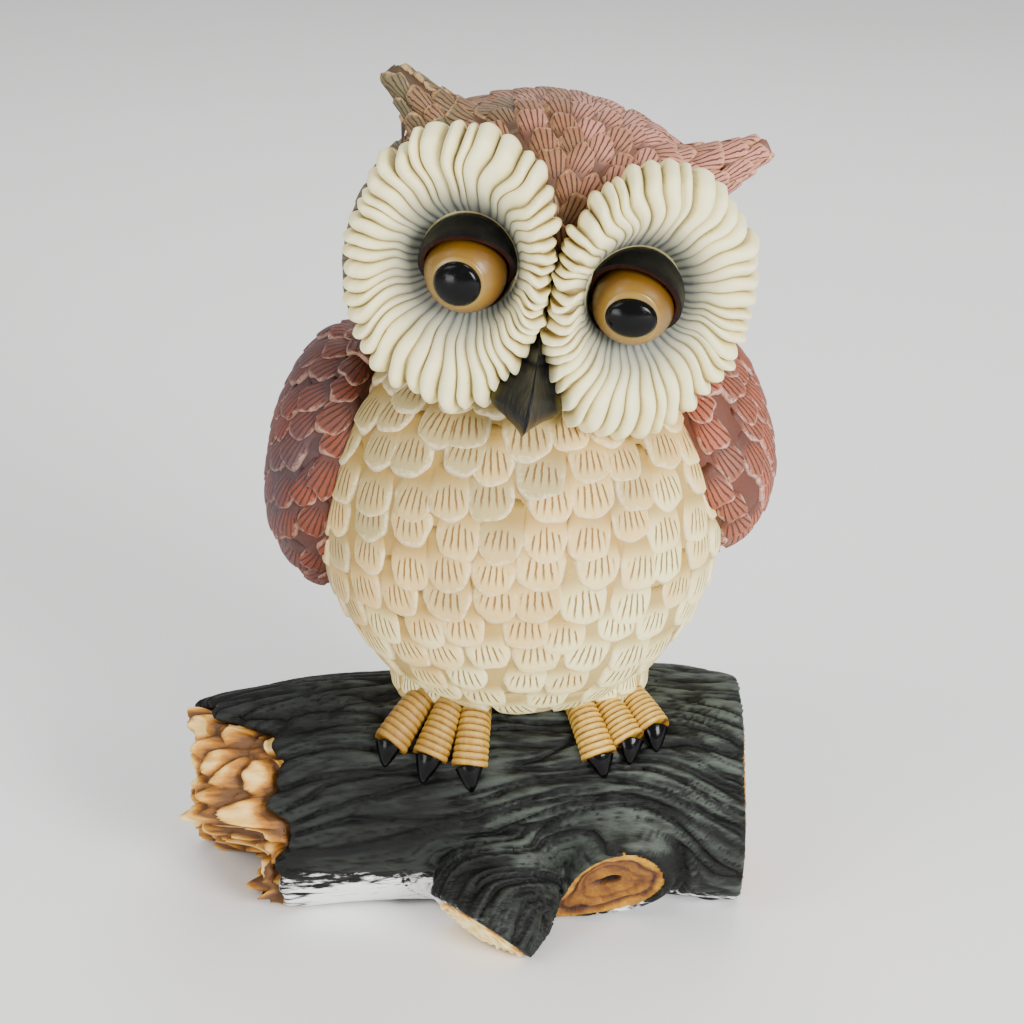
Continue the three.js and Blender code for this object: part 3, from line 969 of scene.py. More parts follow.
class Skin:
    """A smooth closed form that feathers are laid over."""

    def __init__(self, points: Array, faces: Faces) -> None:
        """Keeps the form and a tree to find its surface with.

        Args:
            points: Its vertices.
            faces: Its faces.
        """
        self.points = points
        self.faces = faces
        self.tree = BVHTree.FromPolygons(points.tolist(), faces)

    @classmethod
    def of(cls, thing: bpy.types.Object) -> Skin:
        """Takes the form of an object in the statue's millimetres, and removes the object.

        Args:
            thing: The object.

        Returns:
            The skin.
        """
        skin = cls(points_of(thing), [tuple(face.vertices) for face in thing.data.polygons])
        bpy.data.objects.remove(thing, do_unlink=True)
        return skin

    def onto(self, points: Array, heights: Array) -> Array:
        """Lays points on the skin, each at its own height above it.

        Args:
            points: Places near the skin.
            heights: How far off the skin each is to lie.

        Returns:
            The places on the skin.
        """
        laid = np.empty_like(points)
        for i, point in enumerate(points):
            place, normal, _, _ = self.tree.find_nearest(Vector(point))
            laid[i] = np.array(place) + np.array(normal) * heights[i]
        return laid

    def rows(
        self,
        feather: Feather,
        centre: Array,
        pole: Array,
        angles: tuple[float, float],
        rng: np.random.Generator,
        flow: Callable[[Array], Array] | None = None,
    ) -> list[Seed]:
        """Sets out rows of feathers in rings round an axis, tips away from its pole.

        Args:
            feather: The feather the rows are made of.
            centre: A point inside the skin.
            pole: The way from the centre to where the rows start.
            angles: The angles off the pole of the first and last ring, in degrees.
            rng: Gives each feather its small irregularities.
            flow: The way the tips point at a place, when it isn't straight away from the pole.

        Returns:
            One seed per feather.
        """
        axis = unit(np.array(pole, dtype=float))
        side = unit(np.cross(axis, [0.31, 0.2, 0.93] if abs(axis[2]) < 0.9 else [1.0, 0.0, 0.0]))
        axes = np.array([axis, side, np.cross(axis, side)])
        seeds: list[Seed] = []
        angle, odd = math.radians(angles[0]), 0
        while angle < math.radians(angles[1]):
            radius, stride = self._ring(centre, axes, angle)
            count = max(3, round(2 * math.pi * radius * math.sin(angle) / (feather.width * 0.93)))
            for index in range(count):
                turn = 2 * math.pi * (index + 0.5 * odd + rng.uniform(-0.17, 0.17)) / count
                lean = angle + rng.uniform(-0.2, 0.2) * feather.shown / radius
                hit = self._shot(centre, axes, lean, turn)
                if hit is None:
                    continue
                point, normal = hit
                toward = -axis if flow is None else flow(point)
                toward = toward + rng.normal(0, 0.07, 3)
                toward = unit(toward - normal * np.dot(toward, normal))
                seeds.append(Seed(point, normal, toward, rng.uniform(0.93, 1.07)))
            angle += feather.shown / stride
            odd = 1 - odd
        return seeds

    def _ring(self, centre: Array, axes: Array, angle: float) -> tuple[float, float]:
        """Measures the ring at an angle off the pole.

        Args:
            centre: A point inside the skin.
            axes: The way to the pole and two ways square to it.
            angle: The angle off the pole, in radians.

        Returns:
            Its mean distance from the centre, and the way over the skin per radian past it.
        """
        ahead, turns = 0.08, np.linspace(0, 6.283, 12)
        reaches = []
        for off in (angle, angle + ahead):
            hits = [self._shot(centre, axes, off, turn) for turn in turns]
            reaches.append([0.0 if hit is None else float(np.linalg.norm(hit[0] - centre)) for hit in hits])
        near, far = np.array(reaches)
        kept = (near > 0) & (far > 0)
        if not kept.any():
            return 60.0, 60.0
        strides = np.hypot(near[kept], (far[kept] - near[kept]) / ahead)
        return float(near[kept].mean()), float(0.5 * strides.mean() + 0.5 * strides.max())

    def _shot(self, centre: Array, axes: Array, angle: float, turn: float) -> tuple[Array, Array] | None:
        """Where a ray from the centre meets the skin.

        Args:
            centre: Where the ray starts.
            axes: The way to the pole and two ways square to it.
            angle: The ray's angle off the pole, in radians.
            turn: Its angle round the pole.

        Returns:
            The place and the outward normal there, or nothing for a ray that misses.
        """
        ring = axes[1] * math.cos(turn) + axes[2] * math.sin(turn)
        ray = axes[0] * math.cos(angle) + ring * math.sin(angle)
        place, normal, _, _ = self.tree.ray_cast(Vector(centre), Vector(ray))
        if place is None:
            return None
        outward = np.array(normal) * (1 if normal.dot(Vector(ray)) > 0 else -1)
        return np.array(place), outward


class Coat:
    """A coat of feathers over a skin, as one mesh."""

    def __init__(self, rng: np.random.Generator) -> None:
        """Starts empty.

        Args:
            rng: The generator every draw comes from.
        """
        self.rng = rng
        self.points: list[Array] = []
        self.faces: Faces = []
        self.vanes: list[Array] = []
        self.rims: list[Array] = []
        self.tones: list[Array] = []
        self.count = 0

    def _add(self, points: Array, faces: Faces, vane: Array, rim: Array, tone: float) -> None:
        """Adds one shape with its marks.

        Args:
            points: The shape's vertices.
            faces: Its faces.
            vane: Where each vertex lies on its vane.
            rim: How near each is to the rim, 0 to 1.
            tone: The shape's own shade.
        """
        self.points.append(points)
        self.faces.extend(tuple(i + self.count for i in face) for face in faces)
        self.vanes.append(vane)
        self.rims.append(rim)
        self.tones.append(np.full(len(points), tone))
        self.count += len(points)

    def under(self, points: Array, faces: Faces) -> None:
        """Adds the smooth form that shows between the feathers."""
        # its vane place sets it in the painted shade of the feathers' roots, so it reads dark between them
        self._add(points, faces, np.tile([0.5, 0.3], (len(points), 1)), np.ones(len(points)), 0.5)

    def lay(self, skin: Skin, seeds: list[Seed], feather: Feather) -> None:
        """Lays one feather on the skin at each seed.

        Args:
            skin: The skin under the feathers.
            seeds: Where they grow.
            feather: Their form.
        """
        points, faces, vane = feather.blank()
        for seed in seeds:
            side = np.cross(seed.toward, seed.normal)
            tone = self.rng.uniform()
            phase = self.rng.uniform(0, 6.28, 2)
            turn = np.arctan2(points[:, 0], points[:, 1] + 0.55 * feather.length)
            wave = np.sin(5 * turn + phase[0]) + 0.7 * np.sin(9 * turn + phase[1])
            swell = seed.scale * (1 + feather.ragged * wave * (1 - points[:, 3]) ** 2)
            flat = seed.point + np.outer(points[:, 0] * swell, side)
            flat = flat + np.outer((points[:, 1] + feather.length) * swell - feather.length, seed.toward)
            lift = points[:, 2] + self.rng.uniform(-0.25, 0.3) * (points[:, 2] > -2)
            self._add(skin.onto(flat, lift), faces, vane, points[:, 3], tone)

    def mesh(self, name: str, bench: Bench) -> bpy.types.Object:
        """Joins all that was added into one object.

        Args:
            name: The piece's name.
            bench: Knows where the statue stands.

        Returns:
            The new object, with its vane map and marks.
        """
        data = bpy.data.meshes.new(name)
        data.from_pydata(np.concatenate(self.points).tolist(), [], self.faces)
        thing = bpy.data.objects.new(name, data)
        bpy.context.collection.objects.link(thing)
        bench.place(thing, np.concatenate(self.points))
        corners = np.empty(len(data.loops), dtype=np.int32)
        data.loops.foreach_get("vertex_index", corners)
        layer = data.uv_layers.new(name="vane")
        layer.data.foreach_set("uv", np.concatenate(self.vanes)[corners].ravel())
        mark(thing, "rim", np.concatenate(self.rims))
        mark(thing, "tone", np.concatenate(self.tones))
        tidy_faces(thing)
        return thing


# ------------------------------------------------------------------ log


class Plate:
    """A flat round plate to carve, with polar coordinates on its face."""

    def __init__(self, name: str, normal: Array, radius: float, rings: int) -> None:
        """Starts the plate from a ball.

        Args:
            name: The piece's name.
            normal: The way its face looks.
            radius: Its radius.
            rings: How many rings of vertices it has.
        """
        face, edge, thick = 0.8, 0.9, 3.5
        self.thing = start(name, "uv_sphere", segments=120, ring_count=rings, radius=1)
        down, self.turn = ball_grid(self.thing)
        self.share = np.where(down < face, down / face, np.where(down < edge, 1.0, (1 - down) / (1 - edge)))
        self.reach = self.share * radius
        behind = np.where(down < edge, (down - face) / (edge - face) * thick, thick)
        self.below = np.where(down < face, 0.0, behind)
        self.side = unit(np.cross(normal, [0.0, 0.0, 1.0]))
        self.up = np.cross(self.side, normal)


@dataclass
class Log:
    """The fallen log: bark, splintered end, side branch and knot."""

    bench: Bench
    left: float = -93
    tongue: float = 40
    right: float = 94
    splinters: float = -128
    step: float = 28
    radius: float = 48
    shell: float = 5
    recess: float = -84
    crown: float = 43.5
    floor: float = 1.9
    branch_foot: Array = field(default_factory=lambda: np.array([-12.0, -60.0, 8.0]))
    branch_along: Array = field(default_factory=lambda: unit(np.array([-0.3, -0.78, -0.55])))
    branch_cut: Array = field(default_factory=lambda: unit(np.array([-0.53, -0.5, -0.68])))
    branch_radius: float = 21
    branch_root: float = 27
    branch_length: float = 46
    knot_centre: Array = field(default_factory=lambda: np.array([38.5, -50.0, 20.0]))
    knot_normal: Array = field(default_factory=lambda: unit(np.array([0.03, -0.9, -0.42])))
    knot_radius: float = 21.5
    knot_depth: float = 5
    plate: tuple[float, float, float] = (8, 69, 16)
    plate_room: float = 6.4

    def axis_height(self, x: Array) -> Array:
        """Height of the log's axis: it arches and rests on its two ends."""
        return self.crown - np.where(x < 0, 10.5 * (x / 110) ** 2, 5 * (x / 96) ** 2)

    def trunk_radius(self, x: Array, turn: Array) -> Array:
        """The log's radius at a place along it and an angle round it."""
        swell = 1.2 * np.sin(3 * turn + x * 0.03) + 0.8 * np.sin(5 * turn - x * 0.05)
        return self.radius - 1.5 * (x / 100) ** 2 + swell

    def bark_edge(self, turn: Array) -> Array:
        """Where the bark ends on the broken side: a tongue runs on along the crown.

        Args:
            turn: Angles round the log.

        Returns:
            How far along the log the bark's edge lies there.
        """
        degrees = np.degrees(np.where(turn < -np.pi / 2, turn + 2 * np.pi, turn))
        tongue = smooth(degrees, 40, 118) * (1 - smooth(degrees, 150, 230))
        jag = 3 * np.sin(7 * turn + 1) + 2 * np.sin(12 * turn) + 1.4 * np.sin(23 * turn + 2)
        return self.left - self.tongue * tongue + jag

    def over(self, x: Array, turn: Array, height: Array) -> Array:
        """Points over the bark, by place along, angle above the horizon and height."""
        radius = self.trunk_radius(x, turn) + height
        return np.stack([x, -radius * np.cos(turn), self.axis_height(x) + radius * np.sin(turn)], -1)

    def build(self) -> None:
        """Builds and dresses every piece of the log."""
        self._bark()
        self._core()
        self._knot()
        self._branch_face()

    def _trunk_form(self) -> bpy.types.Object:
        """The trunk as a closed barrel with a socket for the core in its broken end.

        Returns:
            The plain form, in one piece.
        """
        form = start("log_bark", "uv_sphere", segments=96, ring_count=90, radius=1)
        down, turn = ball_grid(form)
        edge = self.bark_edge(turn)
        floor_end, wall_end, lip_end, bark_end = 0.06, 0.12, 0.15, 0.93
        parts = [down < floor_end, down < wall_end, down < lip_end, down < bark_end]
        wall = (down - floor_end) / (wall_end - floor_end)
        bark = (down - lip_end) / (bark_end - lip_end)
        ends = [np.full_like(down, self.recess), self.recess + (edge - self.recess) * wall, edge]
        x = np.select(parts, [*ends, edge + (self.right - edge) * bark], self.right)
        outer = self.trunk_radius(x, turn)
        inner = outer - self.shell
        lip = inner + self.shell * (down - wall_end) / (lip_end - wall_end)
        radii = [inner * down / floor_end, inner, lip, outer]
        radius = np.select(parts, radii, outer * (1 - down) / (1 - bark_end))
        y, z = -radius * np.cos(turn), self.axis_height(x) + radius * np.sin(turn)
        put_points(form, np.stack([x, y, z], 1))
        return form

    def _branch_form(self) -> bpy.types.Object:
        """The side branch, cut off flat.

        Returns:
            The plain form, in one piece.
        """
        ends = {"radius1": self.branch_root, "radius2": self.branch_radius}
        form = start("branch", "cone", vertices=48, depth=90, **ends)
        turn = Vector((0, 0, 1)).rotation_difference(Vector(self.branch_along)).to_matrix()
        middle = self.branch_foot - self.branch_along * 10
        put_points(form, points_of(form) @ np.array(turn).T + middle)
        sliced(form, self.branch_foot, self.branch_cut, use_fill=True, clear_outer=True)
        return form

    def _bark(self) -> None:
        """Welds trunk and branch, then carves the bark's flowing grooves."""
        form = self._trunk_form()
        tidy_faces(form)
        branch = self._branch_form()
        tidy_faces(branch)
        alone(form)
        branch.select_set(True)
        bpy.ops.object.join()
        finish_with(form, "REMESH", mode="VOXEL", voxel_size=1.15)
        finish_with(form, "SMOOTH", factor=0.5, iterations=4)
        points = points_of(form)
        normals = np.empty(3 * len(points))
        form.data.vertices.foreach_get("normal", normals)
        normals = normals.reshape(-1, 3)
        crest, depth = self._grooves(points)
        outside = self._outside(points, normals)
        points = points + normals * (depth * outside)[:, None]
        radial = np.hypot(points[:, 1], points[:, 2] - self.axis_height(points[:, 0]))
        sawn = (points[:, 0] > self.right - 0.6) & (radial < self.radius - 4.6)
        ring = np.hypot(points[:, 1] * 0.94, points[:, 2] - self.crown) + 4 * clouds(points, 26, 11.0)
        points[:, 0] += sawn * (0.35 * np.sin(ring * 1.7) + 0.5 * clouds(points, 3.0, 12.0))
        points = self._sink_knot(points)
        points = self._sink_branch(points)
        points[:, 2] = np.maximum(points[:, 2], self.floor)
        x, half_x, half_y = self.plate
        over_plate = (np.abs(points[:, 0] - x) < half_x) & (np.abs(points[:, 1]) < half_y)
        points[over_plate & (points[:, 2] < 4), 2] = self.plate_room
        self.bench.place(form, points)
        tidy_faces(form)
        mark(form, "crest", crest)
        x, y, z = points.T
        # where the white dry brushing and the painted reflection of the floor go: low at the front left,
        # and half as strong low at the right
        low_left = smooth(-x, 4, 24) * smooth(-z, -30, -10) * smooth(-y, 20, 36)
        low_right = 0.5 * smooth(x, 20, 40) * smooth(-z, -16, -5)
        mark(form, "wear", low_left + low_right)
        mark(form, "end_grain", sawn * 1.0)
        mark(form, "ring", ring)
        self.bench.hand_in(form, BarkPaint("bark_paint"), "bark_paint", "log_shell")

    def _outside(self, points: Array, normals: Array) -> Array:
        """1 on the barked outside, 0 on the sawn and hidden faces.

        Args:
            points: Places on the bark.
            normals: Their normals.

        Returns:
            One share for each place.
        """
        radial = np.hypot(points[:, 1], points[:, 2] - self.axis_height(points[:, 0]))
        turn = np.arctan2(points[:, 2] - self.axis_height(points[:, 0]), -points[:, 1])
        rim = self.trunk_radius(points[:, 0], turn)
        near = smooth(radial, rim - 4.0, rim - 1.5)
        cut = (points - self.branch_foot) @ self.branch_cut
        sawn = smooth(cut, -1.6, -0.6) * smooth(normals @ self.branch_cut, 0.4, 0.8)
        return near * (points[:, 0] < self.right - 1.0) * (1 - sawn) * smooth(points[:, 2], 1.0, 6.0)

    def _stream(self, points: Array) -> tuple[Array, Array]:
        """Coordinates that run across and along the bark's flow, round the knot and the branch.

        Args:
            points: Places on the bark.

        Returns:
            Coordinates across and along the flow of the bark.
        """
        x = points[:, 0]
        turn = np.arctan2(points[:, 2] - self.axis_height(x), -points[:, 1])
        across = turn * self.radius
        knot = np.array([self.knot_centre[0], -23.0])
        dx, dy = x - knot[0], across - knot[1]
        far = dx * dx / 1.3 + dy * dy
        outer = dy * (1 - 33**2 / np.maximum(far, 33**2))
        across = knot[1] + np.where(far < 33**2, np.sqrt(far) - 33, outer)
        offset = points - self.branch_foot
        reach = offset @ self.branch_along
        radial = offset - np.outer(reach, self.branch_along)
        distance = np.linalg.norm(radial, axis=1)
        basis = unit(np.cross(self.branch_along, [0.0, 0.0, 1.0]))
        other = np.cross(self.branch_along, basis)
        around = np.arctan2(radial @ other, radial @ basis) * self.branch_root
        share = smooth(reach, -32, -8) * (1 - smooth(distance, 27, 40))
        return across * (1 - share) + around * share, x * (1 - share) + reach * share

    def _grooves(self, points: Array) -> tuple[Array, Array]:
        """The bark's relief.

        Args:
            points: Places on the bark.

        Returns:
            How near each point is to a crest, 0 to 1, and its height above the plain trunk.
        """
        across, along = self._stream(points)
        zero = np.zeros_like(across)
        sway = clouds(np.stack([along, across, zero], 1), 45, 3.1) * 7
        lanes = np.stack([(across + sway) / 6.4, along / 46, points[:, 1] / 60], 1)
        broad = np.abs(clouds(lanes, 1.0, 1.3))
        fine_lanes = np.stack([(across + sway) / 2.6, along / 26, points[:, 1] / 60], 1)
        fine = np.abs(clouds(fine_lanes, 1.0, 7.7))
        bulge = clouds(points, 24, 5.0)
        ridge = 1 - np.exp(-broad * 9)
        thread = 1 - np.exp(-fine * 8)
        depth = 3.4 * (ridge - 0.72) + 1.1 * (thread - 0.7) + 1.3 * bulge
        crest = np.clip(0.62 * ridge + 0.38 * thread + 0.15 * bulge, 0, 1)
        return crest, depth

    def _sink_knot(self, points: Array) -> Array:
        """Rolls a lip round the knot and sinks the bark behind it.

        Args:
            points: Places on the bark.

        Returns:
            The places with the socket sunk.
        """
        offset = points - self.knot_centre
        height = offset @ self.knot_normal
        side, up = self._knot_axes()
        turn = np.arctan2(offset @ up, offset @ side)
        distance = np.linalg.norm(offset - np.outer(height, self.knot_normal), axis=1)
        distance = distance / self._knot_outline(turn)
        near = (height > -14) & (distance < self.knot_radius + 9)
        lip = np.exp(-(((distance - self.knot_radius - 3.2) / 2.8) ** 2)) * 1.5
        wanted = np.where(distance < self.knot_radius, -self.knot_depth - 3, height)
        collar = smooth(distance, self.knot_radius + 9, self.knot_radius + 2)
        rolled = height + lip + collar * np.maximum(0, -height) * 0.8
        wanted = np.where(distance >= self.knot_radius, rolled, wanted)
        return points + np.outer(np.where(near, wanted - height, 0), self.knot_normal)

    def _knot_axes(self) -> tuple[Array, Array]:
        """The knot's own directions in its plane: to the viewer's left, and up."""
        side = unit(np.cross(self.knot_normal, [0.0, 0.0, 1.0]))
        return side, np.cross(side, self.knot_normal)

    @staticmethod
    def _knot_outline(turn: Array) -> Array:
        """How far the knot's rim reaches each way: a tail runs to the lower left.

        Args:
            turn: Angles round the knot's middle.

        Returns:
            What its radius is multiplied by there.
        """
        lower = [(-180, 1.03), (-157, 0.9), (-120, 0.78), (-89, 0.8), (-64, 1.0), (-47, 1.3), (-34, 1.2)]
        upper = [(-18, 0.86), (0, 0.7), (35, 0.66), (69, 0.76), (95, 0.92), (117, 1.05), (144, 1.09)]
        return curve_through([*lower, *upper, (180, 1.03)], np.degrees(turn))

    def _sink_branch(self, points: Array) -> Array:
        """Sinks the sawn face inside the branch's ring of bark.

        Args:
            points: Places on the bark.

        Returns:
            The places with the socket sunk.
        """
        offset = points - self.branch_foot
        reach = offset @ self.branch_along
        distance = np.linalg.norm(offset - np.outer(reach, self.branch_along), axis=1)
        cut = offset @ self.branch_cut
        inside = (distance < self.branch_radius - 2.2) & (cut > -1.4)
        return points - np.outer(np.where(inside, 3.0, 0), self.branch_cut)

    def _core(self) -> None:
        """The broken wood: chunks and splinters of different lengths."""
        core = start("broken_core", "uv_sphere", segments=220, ring_count=120, radius=1)
        down, turn = ball_grid(core)
        cap = 0.55
        reach = np.where(down < cap, down / cap, 1.0)
        reach = np.where(down > 0.93, (1 - down) / 0.07, reach)
        slab = (4 * np.sin(9 * turn + 2 * reach) + 3 * np.cos(5 * turn - 6 * reach)) * reach
        back = self.step * smooth(reach * (0.9 * np.cos(turn) - np.sin(turn)), 0.25, 0.7)
        end = self.splinters + back + slab
        share = np.clip((down - cap) / (0.93 - cap), 0, 1)
        x = end + (self.recess + 2 - end) * share
        proud = 3.6 * smooth(self.bark_edge(turn) - x, -1.0, 6.0)
        radius = (self.trunk_radius(x, turn) - self.shell - 0.8 + proud) * reach
        y, z = -radius * np.cos(turn), self.axis_height(x) + radius * np.sin(turn)
        points = np.stack([x, y, z], 1)
        cells = np.array([noise.voronoi(Vector(point))[0][:2] for point in points / [17, 10, 11]])
        gap = cells[:, 1] - cells[:, 0]
        lengths = clouds(points / [3, 1, 1], 8.0, 2.2)
        ribs = clouds(points / [5, 1, 1], 2.6, 9.0)
        crest = np.clip(smooth(gap, 0.03, 0.5) * 0.85 + ribs * 0.45 + 0.02, 0, 1)
        bulge = smooth(gap, 0.0, 0.35)
        outward = unit(np.stack([0 * x, points[:, 1], points[:, 2] - self.axis_height(x)], 1))
        on_end = smooth(1 - share, 0.6, 1.0) * smooth(reach, 0.0, 0.5)
        swell = (3.8 * (bulge - 0.75) + 1.1 * ribs) * (1 - on_end * 0.6)
        points = points + outward * swell[:, None]
        points[:, 0] -= (1 - share) ** 0.6 * (7 * lengths + 6 * (bulge - 0.6) + 1.4 * ribs) * (down < 0.93)
        points[:, 0] = np.maximum(points[:, 0], self.splinters - 7)
        points[:, 2] = np.maximum(points[:, 2], self.floor)
        self.bench.place(core, points)
        tidy_faces(core)
        mark(core, "crest", crest)
        self.bench.hand_in(core, WoodPaint("splinter_paint"), "splinter_paint", "splintered_core")

    def _knot(self) -> None:
        """The healed knot: grain rings round a dark hollow, with a tail running to the lower left."""
        plate = Plate("knot_heart", self.knot_normal, self.knot_radius + 1.0, 90)
        disc, turn, share = plate.thing, plate.turn, plate.share
        spread = plate.reach * (1 + (self._knot_outline(turn) - 1) * smooth(share, 0.1, 0.9))
        flat = np.stack([spread * np.cos(turn), spread * np.sin(turn), share * 0], 1)
        level = share + clouds(flat, 9, 4.0) * 0.13 + clouds(flat, 3.5, 6.0) * 0.04
        length, width = flat[:, 0] * 0.9 - flat[:, 1] * 0.44, flat[:, 0] * 0.44 + flat[:, 1] * 0.9
        hollow = 1 - smooth(np.hypot(length / 2.5, width) + clouds(flat, 4, 2.0) * 0.7, 1.5, 3.0)
        groove = np.exp(-(((level - 0.76) / 0.05) ** 2)) + 0.6 * np.exp(-(((level - 0.5) / 0.06) ** 2))
        bowl = (1 - smooth(share, 0.2, 0.95)) * 2.6
        height = -self.knot_depth + 3.4 - bowl - 0.9 * groove - 4.5 * hollow + 0.4 * clouds(flat, 5, 1.0)
        height = np.where(plate.below > 0, -self.knot_depth - plate.below, height)
        points = self.knot_centre + np.outer(flat[:, 0], plate.side) + np.outer(flat[:, 1], plate.up)
        points = points + np.outer(height, self.knot_normal)
        points[:, 2] = np.maximum(points[:, 2], self.floor - 0.4)
        crest = 0.55 - 0.32 * groove - 0.8 * hollow + 0.3 * smooth(level, 0.78, 0.92)
        crest = np.clip(crest + 0.2 * clouds(flat, 6, 8.0), 0, 1)
        self.bench.place(disc, points)
        tidy_faces(disc)
        mark(disc, "crest", crest)
        # the knot's pale and light tones on its crests are painted light, and the dark in its grooves and
        # hollow painted shade, over its golden tan
        tones = {"pale": rgb(142, 104, 50), "warm": rgb(96, 62, 26), "dark": rgb(28, 15, 8)}
        paint = WoodPaint("knot_paint", **tones, light=rgb(190, 150, 88), stretch=(1, 1, 1))
        self.bench.hand_in(disc, paint, "cut_wood_paint", "knot_wood")

    def _branch_face(self) -> None:
        """The branch's pale sawn face with its growth rings and a check."""
        middle = self.branch_foot + self.branch_cut * 0.4
        stretch = 1 / max(0.5, float(self.branch_along @ self.branch_cut))
        plate = Plate("sawn_branch_face", self.branch_cut, self.branch_radius - 1.6, 80)
        disc, turn, reach = plate.thing, plate.turn, plate.reach
        lean = unit(self.branch_along - self.branch_cut * (self.branch_along @ self.branch_cut))
        flat = np.outer(reach * np.cos(turn), plate.side) + np.outer(reach * np.sin(turn), plate.up)
        flat = flat + np.outer(flat @ lean, lean) * (stretch - 1)
        sway = clouds(flat, 10, 8.0) * 1.6
        rings = np.sin((reach + sway) * 2.2)
        tears = clouds(flat * np.array([1.0, 1.0, 0.3]), 3.0, 2.0)
        height = 0.45 * rings + 0.7 * tears + 3.0 * (1 - (reach / self.branch_radius) ** 2)
        height = np.where(plate.below > 0, -plate.below, height)
        points = middle + flat + np.outer(height, self.branch_cut)
        points[:, 2] = np.maximum(points[:, 2], self.floor - 0.4)
        crest = np.clip(0.66 + 0.22 * rings + 0.35 * tears, 0, 1)
        self.bench.place(disc, points)
        tidy_faces(disc)
        mark(disc, "crest", crest)
        tones = {"pale": rgb(246, 220, 168), "warm": rgb(196, 144, 80), "dark": rgb(90, 54, 26)}
        paint = WoodPaint("cut_wood_paint", **tones, light=rgb(255, 240, 204), stretch=(1, 1, 1))
        self.bench.hand_in(disc, paint, "cut_wood_paint", "branch_cut_face")


# ------------------------------------------------------------------ plumage paints

CREAM = FeatherPaint(
    "cream_feather_paint",
    stops=((0.15, rgb(255, 238, 194)), (0.5, rgb(220, 193, 148)), (0.85, rgb(170, 156, 122))),
    line=rgb(112, 80, 40),
    rim=rgb(240, 230, 204),
    crevice=rgb(140, 112, 66),
    line_strength=0.9,
    line_to=0.8,
    half_fan=0.3,
    rim_strength=0.6,
    # greyish olive at the upper left to pale warm yellow at the lower right: partly the breast's own tone,
    # partly painted light from the right and below
    slope=(-3.4, 0.0, 6.2),
    middle=(0.018, 0.0, 0.160),
)
RUSSET = FeatherPaint(
    "brown_feather_paint",
    stops=((0.15, rgb(176, 130, 118)), (0.5, rgb(132, 96, 76)), (0.85, rgb(92, 84, 64))),
    line=rgb(38, 20, 14),
    rim=rgb(196, 168, 140),
    crevice=rgb(40, 22, 16),
    lines=40,
    line_from=0.3,
    line_to=0.95,
    line_strength=0.85,
    rim_strength=0.6,
    # greenish brown at the left to lighter pinkish brown at the right: partly the plumage's own tone,
    # partly painted light from the right
    slope=(-6.0, 0.0, 0.0),
    middle=(0.03, 0.0, 0.30),
)
WING = FeatherPaint(
    "wing_feather_paint",
    stops=((0.15, rgb(120, 62, 44)), (0.5, rgb(102, 52, 36)), (0.85, rgb(84, 49, 38))),
    line=rgb(34, 16, 12),
    rim=rgb(196, 168, 152),
    crevice=rgb(38, 18, 14),
    lines=40,
    line_from=0.3,
    line_to=0.95,
    line_strength=0.8,
    rim_strength=0.6,
    edge_tint=rgb(62, 62, 70),
)


# ------------------------------------------------------------------ body, wings, tail


